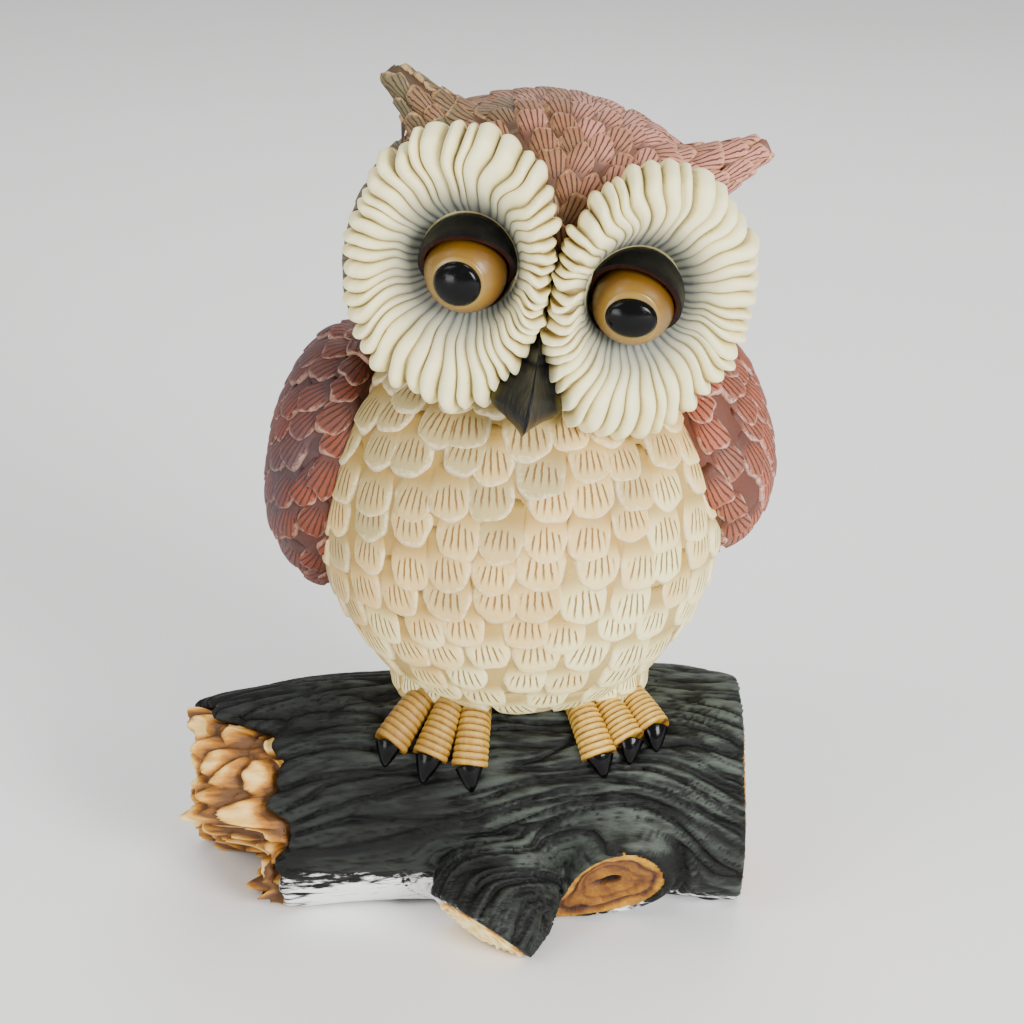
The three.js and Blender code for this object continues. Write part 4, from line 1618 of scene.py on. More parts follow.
@dataclass
class Body:
    """The round body under its feathers, with wings and tail."""

    bench: Bench
    rng: np.random.Generator
    centre: Array = field(default_factory=lambda: np.array([3.0, 0.0, 164.0]))
    radii: Array = field(default_factory=lambda: np.array([80.5, 72.0, 82.0]))
    under: float = 1.4  # how far the skin lies inside the finished outline
    seam: float = 16
    wing_thick: float = 29
    wing_breadth: float = 46
    wing_half: float = 60
    wing_lean: float = 6
    wing_trail: float = 24
    wing_apart: float = 73
    wing_back: float = 18
    breast_feather: Feather = Feather(
        width=19.5, length=28, shown=14.2, rise=2.6, tip=1.3, ragged=0.02, columns=10
    )
    back_feather: Feather = Feather(width=18, length=27, shown=13.5, tip=1.3, ragged=0.02)
    wing_feather: Feather = Feather(width=14, length=23, shown=9.8, rise=3.2, thick=1.7, tip=1.1)

    def build(self) -> None:
        """Builds and dresses the body."""
        skin = self._skin()
        seeds = skin.rows(self.breast_feather, self.centre, np.array([0, 0.12, 1.0]), (18, 176), self.rng)
        self._half("breast_plumage", skin, seeds, CREAM, "cream_feather_paint", "breast_shell", front=True)
        seeds = skin.rows(self.back_feather, self.centre, np.array([0, -0.12, 1.0]), (18, 176), self.rng)
        self._half("back_plumage", skin, seeds, RUSSET, "brown_feather_paint", "back_shell", front=False)
        for side in Side:
            self._wing(side)
        self._tail()

    def _skin(self) -> Skin:
        """The body's smooth form.

        Returns:
            The form under the feathers.
        """
        form = start("body_form", "uv_sphere", segments=96, ring_count=64, radius=1)
        put_points(form, points_of(form) * (self.radii - self.under) + self.centre)
        return Skin.of(form)

    def _half(
        self, name: str, skin: Skin, seeds: list[Seed], paint: Finish, slot: str, node: str, front: bool
    ) -> None:
        """One half of the body, its feathers on its own side of the seam.

        Args:
            name: The piece's name.
            skin: The whole body.
            seeds: Where its feathers grow.
            paint: Their paint.
            slot: The finish's name.
            node: The node it shows.
            front: Whether it is the half before the seam.
        """
        form = start("half_form", "uv_sphere", segments=96, ring_count=64, radius=1)
        put_points(form, points_of(form) * (self.radii - self.under) + self.centre)
        seam, back = np.array([0.0, self.seam, 0.0]), np.array([0.0, 1.0, 0.0])
        sliced(form, seam, back, use_fill=True, clear_outer=front, clear_inner=not front)
        half = Skin.of(form)
        coat = Coat(self.rng)
        coat.under(half.points, half.faces)
        feather = self.breast_feather if front else self.back_feather
        own = [seed for seed in seeds if (seed.point[1] < self.seam) == front]
        coat.lay(skin, own, feather)
        thing = coat.mesh(name, self.bench)
        self.bench.hand_in(thing, paint, slot, node)

    def _wing_form(self, side: Side) -> bpy.types.Object:
        """A folded wing: rounded at the shoulder, drawn to a tip that trails down and back.

        Args:
            side: Which wing.

        Returns:
            The plain form under its feathers.
        """
        share = 1.0 if side is Side.LEFT else 0.88
        height = 176.0 if side is Side.LEFT else 185.5
        form = start("wing_form", "uv_sphere", segments=64, ring_count=48, radius=1)
        x, y, z = points_of(form).T
        low = np.maximum(0, -z)
        taper = 1 - 0.35 * low**2
        x = x * (self.wing_thick - self.under) * taper + self.wing_lean * z - self.wing_apart
        y = y * (self.wing_breadth - self.under) * taper + self.wing_trail * low**2 + self.wing_back
        z = z * (self.wing_half - self.under) * share + height
        put_points(form, np.stack([self.centre[0] - side.value * x, y, z], 1))
        return form

    def _wing(self, side: Side) -> None:
        """A wing with its rows of feathers.

        Args:
            side: Which wing.
        """
        form = self._wing_form(side)
        tidy_faces(form)
        skin = Skin.of(form)
        middle = skin.points.mean(axis=0)
        toward = np.array([side.value * 0.5, 0.3, -1.0])
        shoulder = np.array([-side.value * 0.5, -0.25, 1.0])
        seeds = skin.rows(self.wing_feather, middle, shoulder, (10, 178), self.rng)
        seeds = [self._turned(seed, toward) for seed in seeds if self._outside_body(seed.point)]
        coat = Coat(self.rng)
        coat.under(skin.points, skin.faces)
        coat.lay(skin, seeds, self.wing_feather)
        thing = coat.mesh(f"wing_plumage_{side.word}", self.bench)
        self.bench.hand_in(thing, self._wing_paint(side), "brown_feather_paint", f"wing_{side.word}")

    def _wing_paint(self, side: Side) -> FeatherPaint:
        """The wing's paint, slate towards its outer edge; the right wing's is mixed lighter, as painted
        light from the right.

        Args:
            side: Which wing.

        Returns:
            Its paint.
        """
        settings = {key: getattr(WING, key) for key in WING.__dataclass_fields__}
        settings["name"] = f"wing_feather_paint_{side.word}"
        if side is Side.LEFT:
            settings["edge_turn"] = (side.value * 11.5, 3.5, 1.4)
        else:
            settings["edge_turn"] = (8.0, 2.0, 0.0)
            # painted light: the right wing's tones and rim are a lighter copy of the left's, for the light
            # from the right
            tones = (rgb(156, 96, 80), rgb(136, 84, 68), rgb(116, 80, 68))
            settings["stops"] = tuple(zip((0.15, 0.5, 0.85), tones))
            settings["rim"] = rgb(220, 196, 184)
        return FeatherPaint(**settings)

    def _turned(self, seed: Seed, toward: Array) -> Seed:
        """A seed whose feather points another way.

        Args:
            seed: A seed.
            toward: The way its feather is to point.

        Returns:
            The turned seed.
        """
        wanted = toward + self.rng.normal(0, 0.08, 3)
        flat = unit(wanted - seed.normal * np.dot(wanted, seed.normal))
        return Seed(seed.point, seed.normal, flat, seed.scale)

    def _outside_body(self, point: Array) -> bool:
        """Whether a point stands outside the body, so a feather there would show."""
        return float(np.linalg.norm((point - self.centre) / self.radii)) > 0.98

    def _tail(self) -> None:
        """The short tail: long flat feathers side by side, in two layers over a slab."""
        slab = start("tail_form", "cube", size=2)
        alone(slab)
        bpy.ops.object.mode_set(mode="EDIT")
        bpy.ops.mesh.select_all(action="SELECT")
        bpy.ops.mesh.subdivide(number_cuts=5)
        bpy.ops.object.mode_set(mode="OBJECT")
        finish_with(slab, "SUBSURF", levels=2, render_levels=2)
        x, y, z = points_of(slab).T
        x, y, z = x / np.abs(x).max(), y / np.abs(y).max(), z / np.abs(z).max()
        length = 38.0
        width = 23 + 6 * smooth(-z, -1, 0.7) - 5 * smooth(-z, 0.75, 1.0)
        drop = -z * length + 6 * np.cos(x * 1.4) * (z < 0) * -z
        points = np.stack([x * width, y * 4.5, -drop], 1)
        tilt = np.array(Matrix.Rotation(math.radians(24), 3, "X"))
        points = points @ tilt.T + np.array([self.centre[0], 71.0, 97.0])
        put_points(slab, points)
        tidy_faces(slab)
        skin = Skin.of(slab)
        plume = Feather(width=13.5, length=40, shown=20, rise=2.6, thick=2.0, tip=1.1, root_rows=6)
        seeds = []
        down, outward = tilt @ np.array([0, 0, -1.0]), tilt @ np.array([0, 1.0, 0])
        for face in (1, -1):
            for row, (ahead, count) in enumerate(((41.0, 5), (22.0, 4), (4.0, 4))):
                for index in range(count):
                    aside = (index - (count - 1) / 2) * 11.0
                    place = np.array([self.centre[0] + aside, 71.0, 97.0])
                    place = place + down * (ahead - 0.006 * aside**2)
                    fan = unit(down + np.array([aside * 0.006, 0, 0]))
                    seeds.append(Seed(place + outward * face * 5, outward * face, fan, 1.0))
        coat = Coat(self.rng)
        coat.under(skin.points, skin.faces)
        coat.lay(skin, seeds, plume)
        thing = coat.mesh("tail_plumage", self.bench)
        self.bench.hand_in(thing, WING, "brown_feather_paint", "tail")


# ------------------------------------------------------------------ head


@dataclass
class Head:
    """The tilted head: crown, ear tufts, facial discs, eyes and beak."""

    bench: Bench
    rng: np.random.Generator
    centre: Array = field(default_factory=lambda: np.array([11.5, -8.0, 265.5]))
    radii: Array = field(default_factory=lambda: np.array([76.0, 58.0, 70.0]))
    roll: float = 11.6
    pitch: float = 3.0
    under: float = 1.5
    face_y: float = -45
    face_z: float = 11
    eye_gap: float = 62
    yaw: float = 17
    petals: int = 46
    petal_columns: int = 12
    tuft_foot: Array = field(default_factory=lambda: np.array([35.0, -6.0, 40.5]))
    tuft_along: Array = field(default_factory=lambda: unit(np.array([0.8, -0.02, 0.6])))
    tuft_length: float = 47
    tuft_root: float = 20
    tuft_tip: float = 5.0
    eye_radius: float = 15.2
    pupil_radius: float = 8.8
    lid_radius: float = 18
    lid_lift: float = 3.0
    lid_cut: float = 56
    lid_tilt: float = 21.0
    crown_feather: Feather = Feather(
        width=11.5, length=18, shown=8.6, rise=2.5, thick=1.2, tip=1.2, columns=6
    )
    tuft_feather: Feather = Feather(
        width=9.5, length=20, shown=8.0, rise=2.8, thick=1.4, tip=1.3, columns=6
    )

    @property
    def pose(self) -> Array:
        """The head's turn: pitch after roll."""
        pitch = Matrix.Rotation(math.radians(self.pitch), 3, "X")
        return np.array(pitch @ Matrix.Rotation(math.radians(self.roll), 3, "Y"))

    def out(self, points: Array) -> Array:
        """Takes points from the head's own frame to the statue's."""
        return np.asarray(points) @ self.pose.T + self.centre

    def gaze(self, side: Side) -> Array:
        """The way an eye looks, in the head's frame."""
        return unit(np.array([-0.225, -1, -0.115] if side is Side.LEFT else [-0.085, -1, -0.115]))

    def eye(self, side: Side) -> Array:
        """The middle of an eye in the head's frame."""
        return np.array([side.value * self.eye_gap / 2, self.face_y - 1, self.face_z])

    def build(self) -> None:
        """Builds and dresses every piece of the head."""
        self._plumage()
        for side in Side:
            self._disc(side)
            self._eyeball(side)
            self._pupil(side)
            self._lid(side)
        self._beak()

    def _skull_points(self, ball: Array, inset: float) -> Array:
        """A unit sphere's points moved to the skull: round behind, flattened in front.

        Args:
            ball: Points of a unit ball.
            inset: How far inside the skin they lie.

        Returns:
            The skull's points.
        """
        x, y, z = ball.T
        depth = np.where(y < 0, -0.82 * np.abs(y) ** 0.8, y)
        return np.stack([x, depth, z], 1) * (self.radii - inset)

    def _tuft_points(self, side: Side, ball: bpy.types.Object, inset: float) -> Array:
        """A unit sphere's points moved to a tuft, from inside the skull to its blunt tip.

        Args:
            side: Which tuft.
            ball: The unit ball.
            inset: How far inside the skin they lie.

        Returns:
            The tuft's points.
        """
        down, turn = ball_grid(ball)
        share = 1 - np.clip((down - 0.08) / 0.84, 0, 1)
        reach = np.where(down < 0.08, down / 0.08, np.where(down > 0.92, (1 - down) / 0.08, 1.0))
        radius = (self.tuft_tip + (self.tuft_root - self.tuft_tip) * (1 - share) ** 1.35 - inset) * reach
        turned = Vector((0, 0, 1)).rotation_difference(Vector(self.tuft_along)).to_matrix()
        across, deep = radius * np.cos(turn), 0.85 * radius * np.sin(turn)
        local = np.stack([across, deep, share * (self.tuft_length - 1.5)], 1)
        points = local @ np.array(turned).T + self.tuft_foot
        return points * np.array([side.value, 1, 1])

    def _form(self) -> Skin:
        """Skull and tufts run together into one smooth skin.

        Returns:
            The form under the feathers.
        """
        skull = start("skull_form", "uv_sphere", segments=96, ring_count=64, radius=1)
        put_points(skull, self._skull_points(points_of(skull), self.under))
        tidy_faces(skull)
        for side in Side:
            tuft = start("tuft_form", "uv_sphere", segments=40, ring_count=40, radius=1)
            put_points(tuft, self._tuft_points(side, tuft, self.under * 0.8))
            tidy_faces(tuft)
            alone(skull)
            tuft.select_set(True)
            bpy.ops.object.join()
        finish_with(skull, "REMESH", mode="VOXEL", voxel_size=1.8)
        finish_with(skull, "SMOOTH", factor=0.5, iterations=6)
        points = points_of(skull)
        for side in Side:
            eye = self.eye(side)
            near = 1 - smooth(np.hypot(points[:, 0] - eye[0], points[:, 2] - eye[2]), 26, 34)
            near = near * (points[:, 1] < 0)
            points[:, 1] = points[:, 1] * (1 - near) + np.maximum(points[:, 1], -34) * near
        low = smooth(-points[:, 2], 14, 40) * smooth(-points[:, 1], 0, 20)
        points[:, 1] += 16 * low
        put_points(skull, self.out(points))
        return Skin.of(skull)

    def _tuft_share(self, local: Array) -> tuple[Side, float]:
        """Which tuft a point is nearest, and how far along that tuft it is.

        Args:
            local: A place of the head before it is turned, its middle at zero.

        Returns:
            The nearer tuft's side, and the share of its length.
        """
        side = Side.LEFT if local[0] < 0 else Side.RIGHT
        mirrored = local * np.array([side.value, 1, 1])
        return side, float((mirrored - self.tuft_foot) @ self.tuft_along) / self.tuft_length

    def _flow(self, point: Array) -> Array:
        """The way the tips point on the head: back over the crown, and out along the tufts.

        Args:
            point: A place on the head.

        Returns:
            The way a feather there points.
        """
        local = (point - self.centre) @ self.pose
        side, share = self._tuft_share(local)
        behind = smooth(local[1], 0, 40)
        back = np.array([side.value * 0.25 * (1 - behind), 1.0 - 0.85 * behind, -0.42 - 0.6 * behind])
        out = self.tuft_along * np.array([side.value, 1, 1])
        front = smooth(-local[1], -6, 26) * smooth(local[2], 10, 45)
        brow = np.array([side.value * 0.35, 0.5, 1.0])
        way = back * (1 - front) + brow * front
        pull = smooth(share, 0.0, 0.45) * smooth(local[2], 20, 50)
        return self.pose @ (way * (1 - pull) + out * pull)

    def _plumage(self) -> None:
        """Crown and tufts covered with feathers."""
        skin = self._form()
        crown, tufts = Coat(self.rng), {side: Coat(self.rng) for side in Side}
        crown.under(skin.points, skin.faces)
        pole = self.pose @ np.array([0.0, -1.0, 0.42])
        seeds = skin.rows(self.crown_feather, self.centre, pole, (8, 172), self.rng, self._flow)
        kept = [seed for seed in seeds if self._tuft_of(seed.point)[1] < 0.3]
        crown.lay(skin, kept, self.crown_feather)
        for side in Side:
            root = start("tuft_core", "uv_sphere", segments=32, ring_count=24, radius=1)
            points = self.out(self._tuft_points(side, root, self.under + 0.8))
            faces = [tuple(face.vertices) for face in root.data.polygons]
            bpy.data.objects.remove(root, do_unlink=True)
            tufts[side].under(points, faces)
            tufts[side].lay(skin, self._tuft_seeds(side, skin), self.tuft_feather)
            thing = tufts[side].mesh(f"ear_tuft_plumage_{side.word}", self.bench)
            self.bench.hand_in(thing, RUSSET, "brown_feather_paint", f"ear_tuft_{side.word}")
        thing = crown.mesh("crown_plumage", self.bench)
        self.bench.hand_in(thing, RUSSET, "brown_feather_paint", "head_shell")

    def _tuft_of(self, point: Array) -> tuple[Side, float]:
        """Which tuft a point of the statue is nearest, and how far along it is.

        Args:
            point: A place on the head.

        Returns:
            The nearer tuft's side, and the share of its length, or -1 away from the tuft.
        """
        local = (point - self.centre) @ self.pose
        side, share = self._tuft_share(local)
        offset = local * np.array([side.value, 1, 1]) - self.tuft_foot
        aside = np.linalg.norm(offset - self.tuft_along * (offset @ self.tuft_along))
        return side, share if local[2] > 15 and aside < 24 else -1.0

    def _tuft_seeds(self, side: Side, skin: Skin) -> list[Seed]:
        """Rings of feathers along a tuft, tips outwards.

        Args:
            side: Which tuft.
            skin: The head's skin.

        Returns:
            Where its feathers grow.
        """
        mirror = np.array([side.value, 1, 1])
        along = self.tuft_along * mirror
        foot = self.tuft_foot * mirror
        across = unit(np.cross(along, [0.0, 1.0, 0.0]))
        other = np.cross(along, across)
        seeds = []
        shares = np.arange(0.3, 1.12, self.tuft_feather.shown / self.tuft_length)
        for row, share in enumerate(shares):
            radius = self.tuft_tip + (self.tuft_root - self.tuft_tip) * max(0.0, 1 - share) ** 1.35
            count = max(4, round(2 * math.pi * radius / (self.tuft_feather.width * 0.85)))
            for index in range(count):
                turn = 2 * math.pi * (index + 0.5 * (row % 2) + self.rng.uniform(-0.1, 0.1)) / count
                ring = across * math.cos(turn) + other * math.sin(turn)
                place = foot + along * share * self.tuft_length + ring * radius
                point = self.out(place)
                near, normal, _, _ = skin.tree.find_nearest(Vector(point))
                facing = np.array(normal)
                toward = self.pose @ along + self.rng.normal(0, 0.06, 3)
                toward = unit(toward - facing * np.dot(toward, facing))
                seeds.append(Seed(np.array(near), facing, toward, self.rng.uniform(0.9, 1.1)))
        return seeds

    def _rim(self, turn: Array) -> Array:
        """Distance from the eye to a disc's rim: 0 is outwards, 90 degrees up.

        Args:
            turn: Angles round the eye.

        Returns:
            The disc's reach there.
        """
        across = np.where(np.cos(turn) > 0, 46.0, 32.5)
        tall = np.where(np.sin(turn) > 0, 52.5, 53.0)
        power = 2.25
        total = np.abs(np.cos(turn) / across) ** power + np.abs(np.sin(turn) / tall) ** power
        return total ** (-1 / power)

    def _disc(self, side: Side) -> None:
        """A facial disc: a ring of carved petals round the eye.

        Args:
            side: Which disc.
        """
        columns = self.petals * self.petal_columns
        front, around = 44, 14
        rows = front + around
        disc = start(
            f"face_petals_{side.word}", "grid", x_subdivisions=columns, y_subdivisions=rows - 1, size=2
        )
        flat = points_of(disc)
        column = np.rint((flat[:, 0] + 1) / 2 * columns).astype(int) % columns
        row = np.rint((flat[:, 1] + 1) / 2 * (rows - 1))
        widths = self.rng.uniform(0.66, 1.4, self.petals)
        edges = np.concatenate([[0], np.cumsum(widths)]) / widths.sum() * 2 * np.pi
        petal, share = column // self.petal_columns, (column % self.petal_columns) / self.petal_columns
        base = edges[petal] + (edges[petal + 1] - edges[petal]) * share
        reach = np.clip(row / (front - 1), 0, 1)
        bend = 0.06 * np.sin(2 * np.pi * (reach * 0.7 + 0.1)) * np.cos(base + 0.6)
        bend = bend + 0.02 * np.sin(3 * np.pi * reach + 4 * base)
        turn = base + bend * smooth(reach, 0.05, 0.3)
        skew = self.rng.uniform(0.7, 1.5, self.petals)[petal]
        crest = np.sin(np.pi * share**skew) ** 0.7
        long = self.rng.uniform(-1.8, 1.8, self.petals)[petal]
        lift = self.rng.uniform(-0.9, 0.9, self.petals)[petal]
        rim = self._rim(turn) + long + 3.2 * (crest - 0.75)
        hole = 18.4 + 3 * np.sin(turn)
        dish = [(0, 2.0), (0.12, -1.6), (0.42, -6.6), (0.75, -7.8), (0.93, -4.6), (1, 0)]
        profile = curve_through(dish, reach)
        carved = smooth(reach, 0.03, 0.35) * (0.5 + 0.9 * reach)
        depth = profile - 2.5 * carved * (crest - 0.55) - lift * carved
        radius = hole + (rim - hole) * reach
        ends = (row - front + 1) / around
        back_ends = [0, 0.15, 0.35, 0.6, 0.8, 0.95]
        back_share = np.interp(ends, back_ends, [1.0, 0.985, 0.9, 0.6, 0.3, 0.0])
        back_depth = np.interp(ends, back_ends, [0, 3, 7, 9, 10, 7])
        behind = row >= front
        radius = np.where(behind, 13.6 + (rim - 13.6) * back_share, radius)
        depth = np.where(behind, depth * 0 + back_depth, depth)
        last = row == rows - 1
        radius = np.where(last, hole, radius)
        depth = np.where(last, 2.0, depth)
        x, z, y = radius * np.cos(turn), radius * np.sin(turn), depth
        points = np.stack([side.value * x, y, z], 1)
        yaw = np.array(Matrix.Rotation(math.radians(side.value * self.yaw), 3, "Z"))
        points = points @ yaw.T + np.array([side.value * self.eye_gap / 2, self.face_y, self.face_z])
        points = self._zip(side, points)
        self.bench.place(disc, self.out(points))
        mark(disc, "reach", np.where(behind, smooth(radius, 15, 22), reach))
        mark(disc, "crest", np.where(behind, 0.5, crest))
        nose = smooth(-np.abs(points[:, 0]), -17, -3) * smooth(-points[:, 1], 40, 52)
        mark(disc, "nose", nose)
        tidy_faces(disc, 1e-6)
        self.bench.hand_in(disc, FacePaint("face_paint"), "face_paint", f"face_disc_{side.word}")

    @staticmethod
    def _zip(side: Side, points: Array) -> Array:
        """Keeps a disc on its own side of the zigzag where the two meet, its ends rolled back.

        Args:
            side: Which disc.
            points: Its points.

        Returns:
            The points held to their own side of the middle.
        """
        z = points[:, 2]
        zigzag = 1.5 * (2 * np.abs((z / 7.5) % 1.0 - 0.5) - 0.5) * 2
        limit = zigzag * smooth(z, -20, -5) + side.value * 0.25
        past = np.maximum(0, side.value * (limit - points[:, 0]))
        moved = points.copy()
        moved[:, 0] = np.where(past > 0, limit, points[:, 0])
        moved[:, 1] += 0.35 * past
        return moved

    def _eyeball(self, side: Side) -> None:
        """An amber ball with a raised ring round the pupil's seat.

        Args:
            side: Which eye.
        """
        ball = start(f"amber_eye_{side.word}", "uv_sphere", segments=72, ring_count=56, radius=1)
        down, turn = ball_grid(ball)
        angle = down * np.pi
        brim = math.asin(self.pupil_radius / self.eye_radius)
        radius = self.eye_radius + 0.35 * np.exp(-(((angle - brim - 0.05) / 0.05) ** 2))
        radius = np.where(angle < brim, self.eye_radius - 0.8, radius)
        off_axis = radius * np.sin(angle)
        across, up = off_axis * np.cos(turn), off_axis * np.sin(turn)
        ball_points = np.stack([across, up, radius * np.cos(angle)], 1)
        points = self._aimed(side, ball_points)
        self.bench.place(ball, self.out(points))
        tidy_faces(ball)
        mark(ball, "spread", (angle - brim) / 1.4 + 0.28)
        self.bench.hand_in(ball, IrisPaint("iris_paint"), "iris_paint", f"eyeball_{side.word}")

    def _aimed(self, side: Side, points: Array) -> Array:
        """Points built along +Z turned to an eye's gaze and moved to the eye."""
        turned = Vector((0, 0, 1)).rotation_difference(Vector(self.gaze(side))).to_matrix()
        return points @ np.array(turned).T + self.eye(side)

    def _pupil(self, side: Side) -> None:
        """A domed glossy lens standing a little proud of the eyeball.

        Args:
            side: Which eye.
        """
        lens = start(f"glossy_pupil_{side.word}", "uv_sphere", segments=56, ring_count=40, radius=1)
        down, turn = ball_grid(lens)
        wide, tall = (1.0, 0.97) if side is Side.LEFT else (1.07, 0.87)
        reach = np.where(down < 0.6, down / 0.6, np.where(down < 0.7, 1.0, (1 - down) / 0.3))
        reach = reach * self.pupil_radius
        dome = np.sqrt((self.eye_radius + 0.9) ** 2 - reach**2) - 0.5 * smooth(reach, 7.6, 8.8)
        height = np.where(down < 0.6, dome, np.where(down < 0.7, 13.2 - (down - 0.6) * 12, 11.4))
        height = np.where(down >= 0.6, np.minimum(height, 12.6), height)
        flat = np.stack([reach * np.cos(turn) * wide, reach * np.sin(turn) * tall, height], 1)
        self.bench.place(lens, self.out(self._aimed(side, flat)))
        tidy_faces(lens)
        self.bench.hand_in(lens, GlossPaint("pupil_gloss"), "pupil_gloss", f"pupil_{side.word}")

    def _lid(self, side: Side) -> None:
        """A hooded lid: a thick shell over the top of the eyeball, its lip tilted outwards.

        Args:
            side: Which eye.
        """
        tilt = 0.0 if side is Side.LEFT else self.lid_tilt
        lid = start(f"hooded_lid_{side.word}", "uv_sphere", segments=72, ring_count=48, radius=1)
        eye = self.eye(side)
        middle = eye + np.array([0, 0, self.lid_lift])
        edge = np.array([0, -math.sin(math.radians(self.lid_cut)), -math.cos(math.radians(self.lid_cut))])
        edge = np.array(Matrix.Rotation(math.radians(tilt), 3, "Y")) @ edge
        put_points(lid, points_of(lid) * self.lid_radius + middle)
        sliced(lid, eye, edge, clear_outer=True)
        sliced(lid, np.array([0.0, self.face_y + 6, 0.0]), np.array([0.0, 1.0, 0.0]), clear_outer=True)
        finish_with(lid, "SOLIDIFY", thickness=2.4, offset=-1)
        finish_with(lid, "BEVEL", width=0.7, segments=3, limit_method="ANGLE", angle_limit=math.radians(40))
        points = points_of(lid)
        reach = np.linalg.norm(points - middle, axis=1)
        near_edge = smooth((points - eye) @ edge, -3.0, -0.6)
        self.bench.place(lid, self.out(points))
        tidy_faces(lid)
        # where the painted shadow goes: the lid's inner face, near its edge
        mark(lid, "inner", (reach < self.lid_radius - 1.9) * near_edge)
        self.bench.hand_in(lid, LidPaint("lid_paint"), "lid_paint", f"eyelid_{side.word}")

    def _beak(self) -> None:
        """A kite-shaped beak with a sharp ridge, nostrils and thin gape flanges."""
        top, tip, jut = -17.0, -53.0, -31.0
        beak = start("hooked_beak", "uv_sphere", segments=96, ring_count=80, radius=1)
        x, y, z = points_of(beak).T
        down = (1 - z) / 2
        round_off = np.sqrt(np.maximum(1e-6, 1 - z * z))
        across = x / round_off
        widths = [(0, 0.5), (0.12, 2.6), (0.35, 7.4), (0.6, 11.6), (0.72, 12.6), (0.85, 9.0)]
        outline = curve_through([*widths, (0.95, 4.0), (1, 0.5)], down)
        heights = [(0, 0.30), (0.12, 0.52), (0.35, 0.80), (0.62, 1.0), (0.85, 0.92), (1, 0.62)]
        ridge = curve_through(heights, down)
        side_fall = np.abs(across) ** 0.85
        depth = jut * ridge * (1 - 0.66 * side_fall)
        nostril = np.exp(-(((np.abs(across) - 0.45) / 0.16) ** 2) - ((down - 0.3) / 0.05) ** 2)
        depth = np.where(y < 0, depth + 1.6 * nostril, 3 + 0 * y)
        thin = smooth(np.abs(across), 0.8, 1.0)
        gape = thin * smooth(down, 0.5, 0.62) * (1 - smooth(down, 0.82, 0.92))
        middle = self.face_z + (top + tip) / 2
        points = np.stack([across * outline * (1 + 0.06 * gape), self.face_y + depth, middle + z * 18], 1)
        self.bench.place(beak, self.out(points))
        tidy_faces(beak)
        mark(beak, "gape", gape)
        self.bench.hand_in(beak, BeakPaint("beak_paint"), "beak_paint", "beak")


# ------------------------------------------------------------------ feet

TOES: dict[str, tuple[tuple[float, float], tuple[float, float], tuple[float, float]]] = {
    "left_outer": ((-33, 74), (-49, 46), (-51, 36)),
    "left_middle": ((-23, 68), (-33, 39), (-36, 27)),
    "left_inner": ((-14, 66), (-17, 34), (-16, 22)),
    "right_inner": ((27, 68), (35, 39), (37, 29)),
    "right_middle": ((36, 72), (47, 47), (47, 36)),
    "right_outer": ((46, 78), (57, 54), (58, 43)),
}


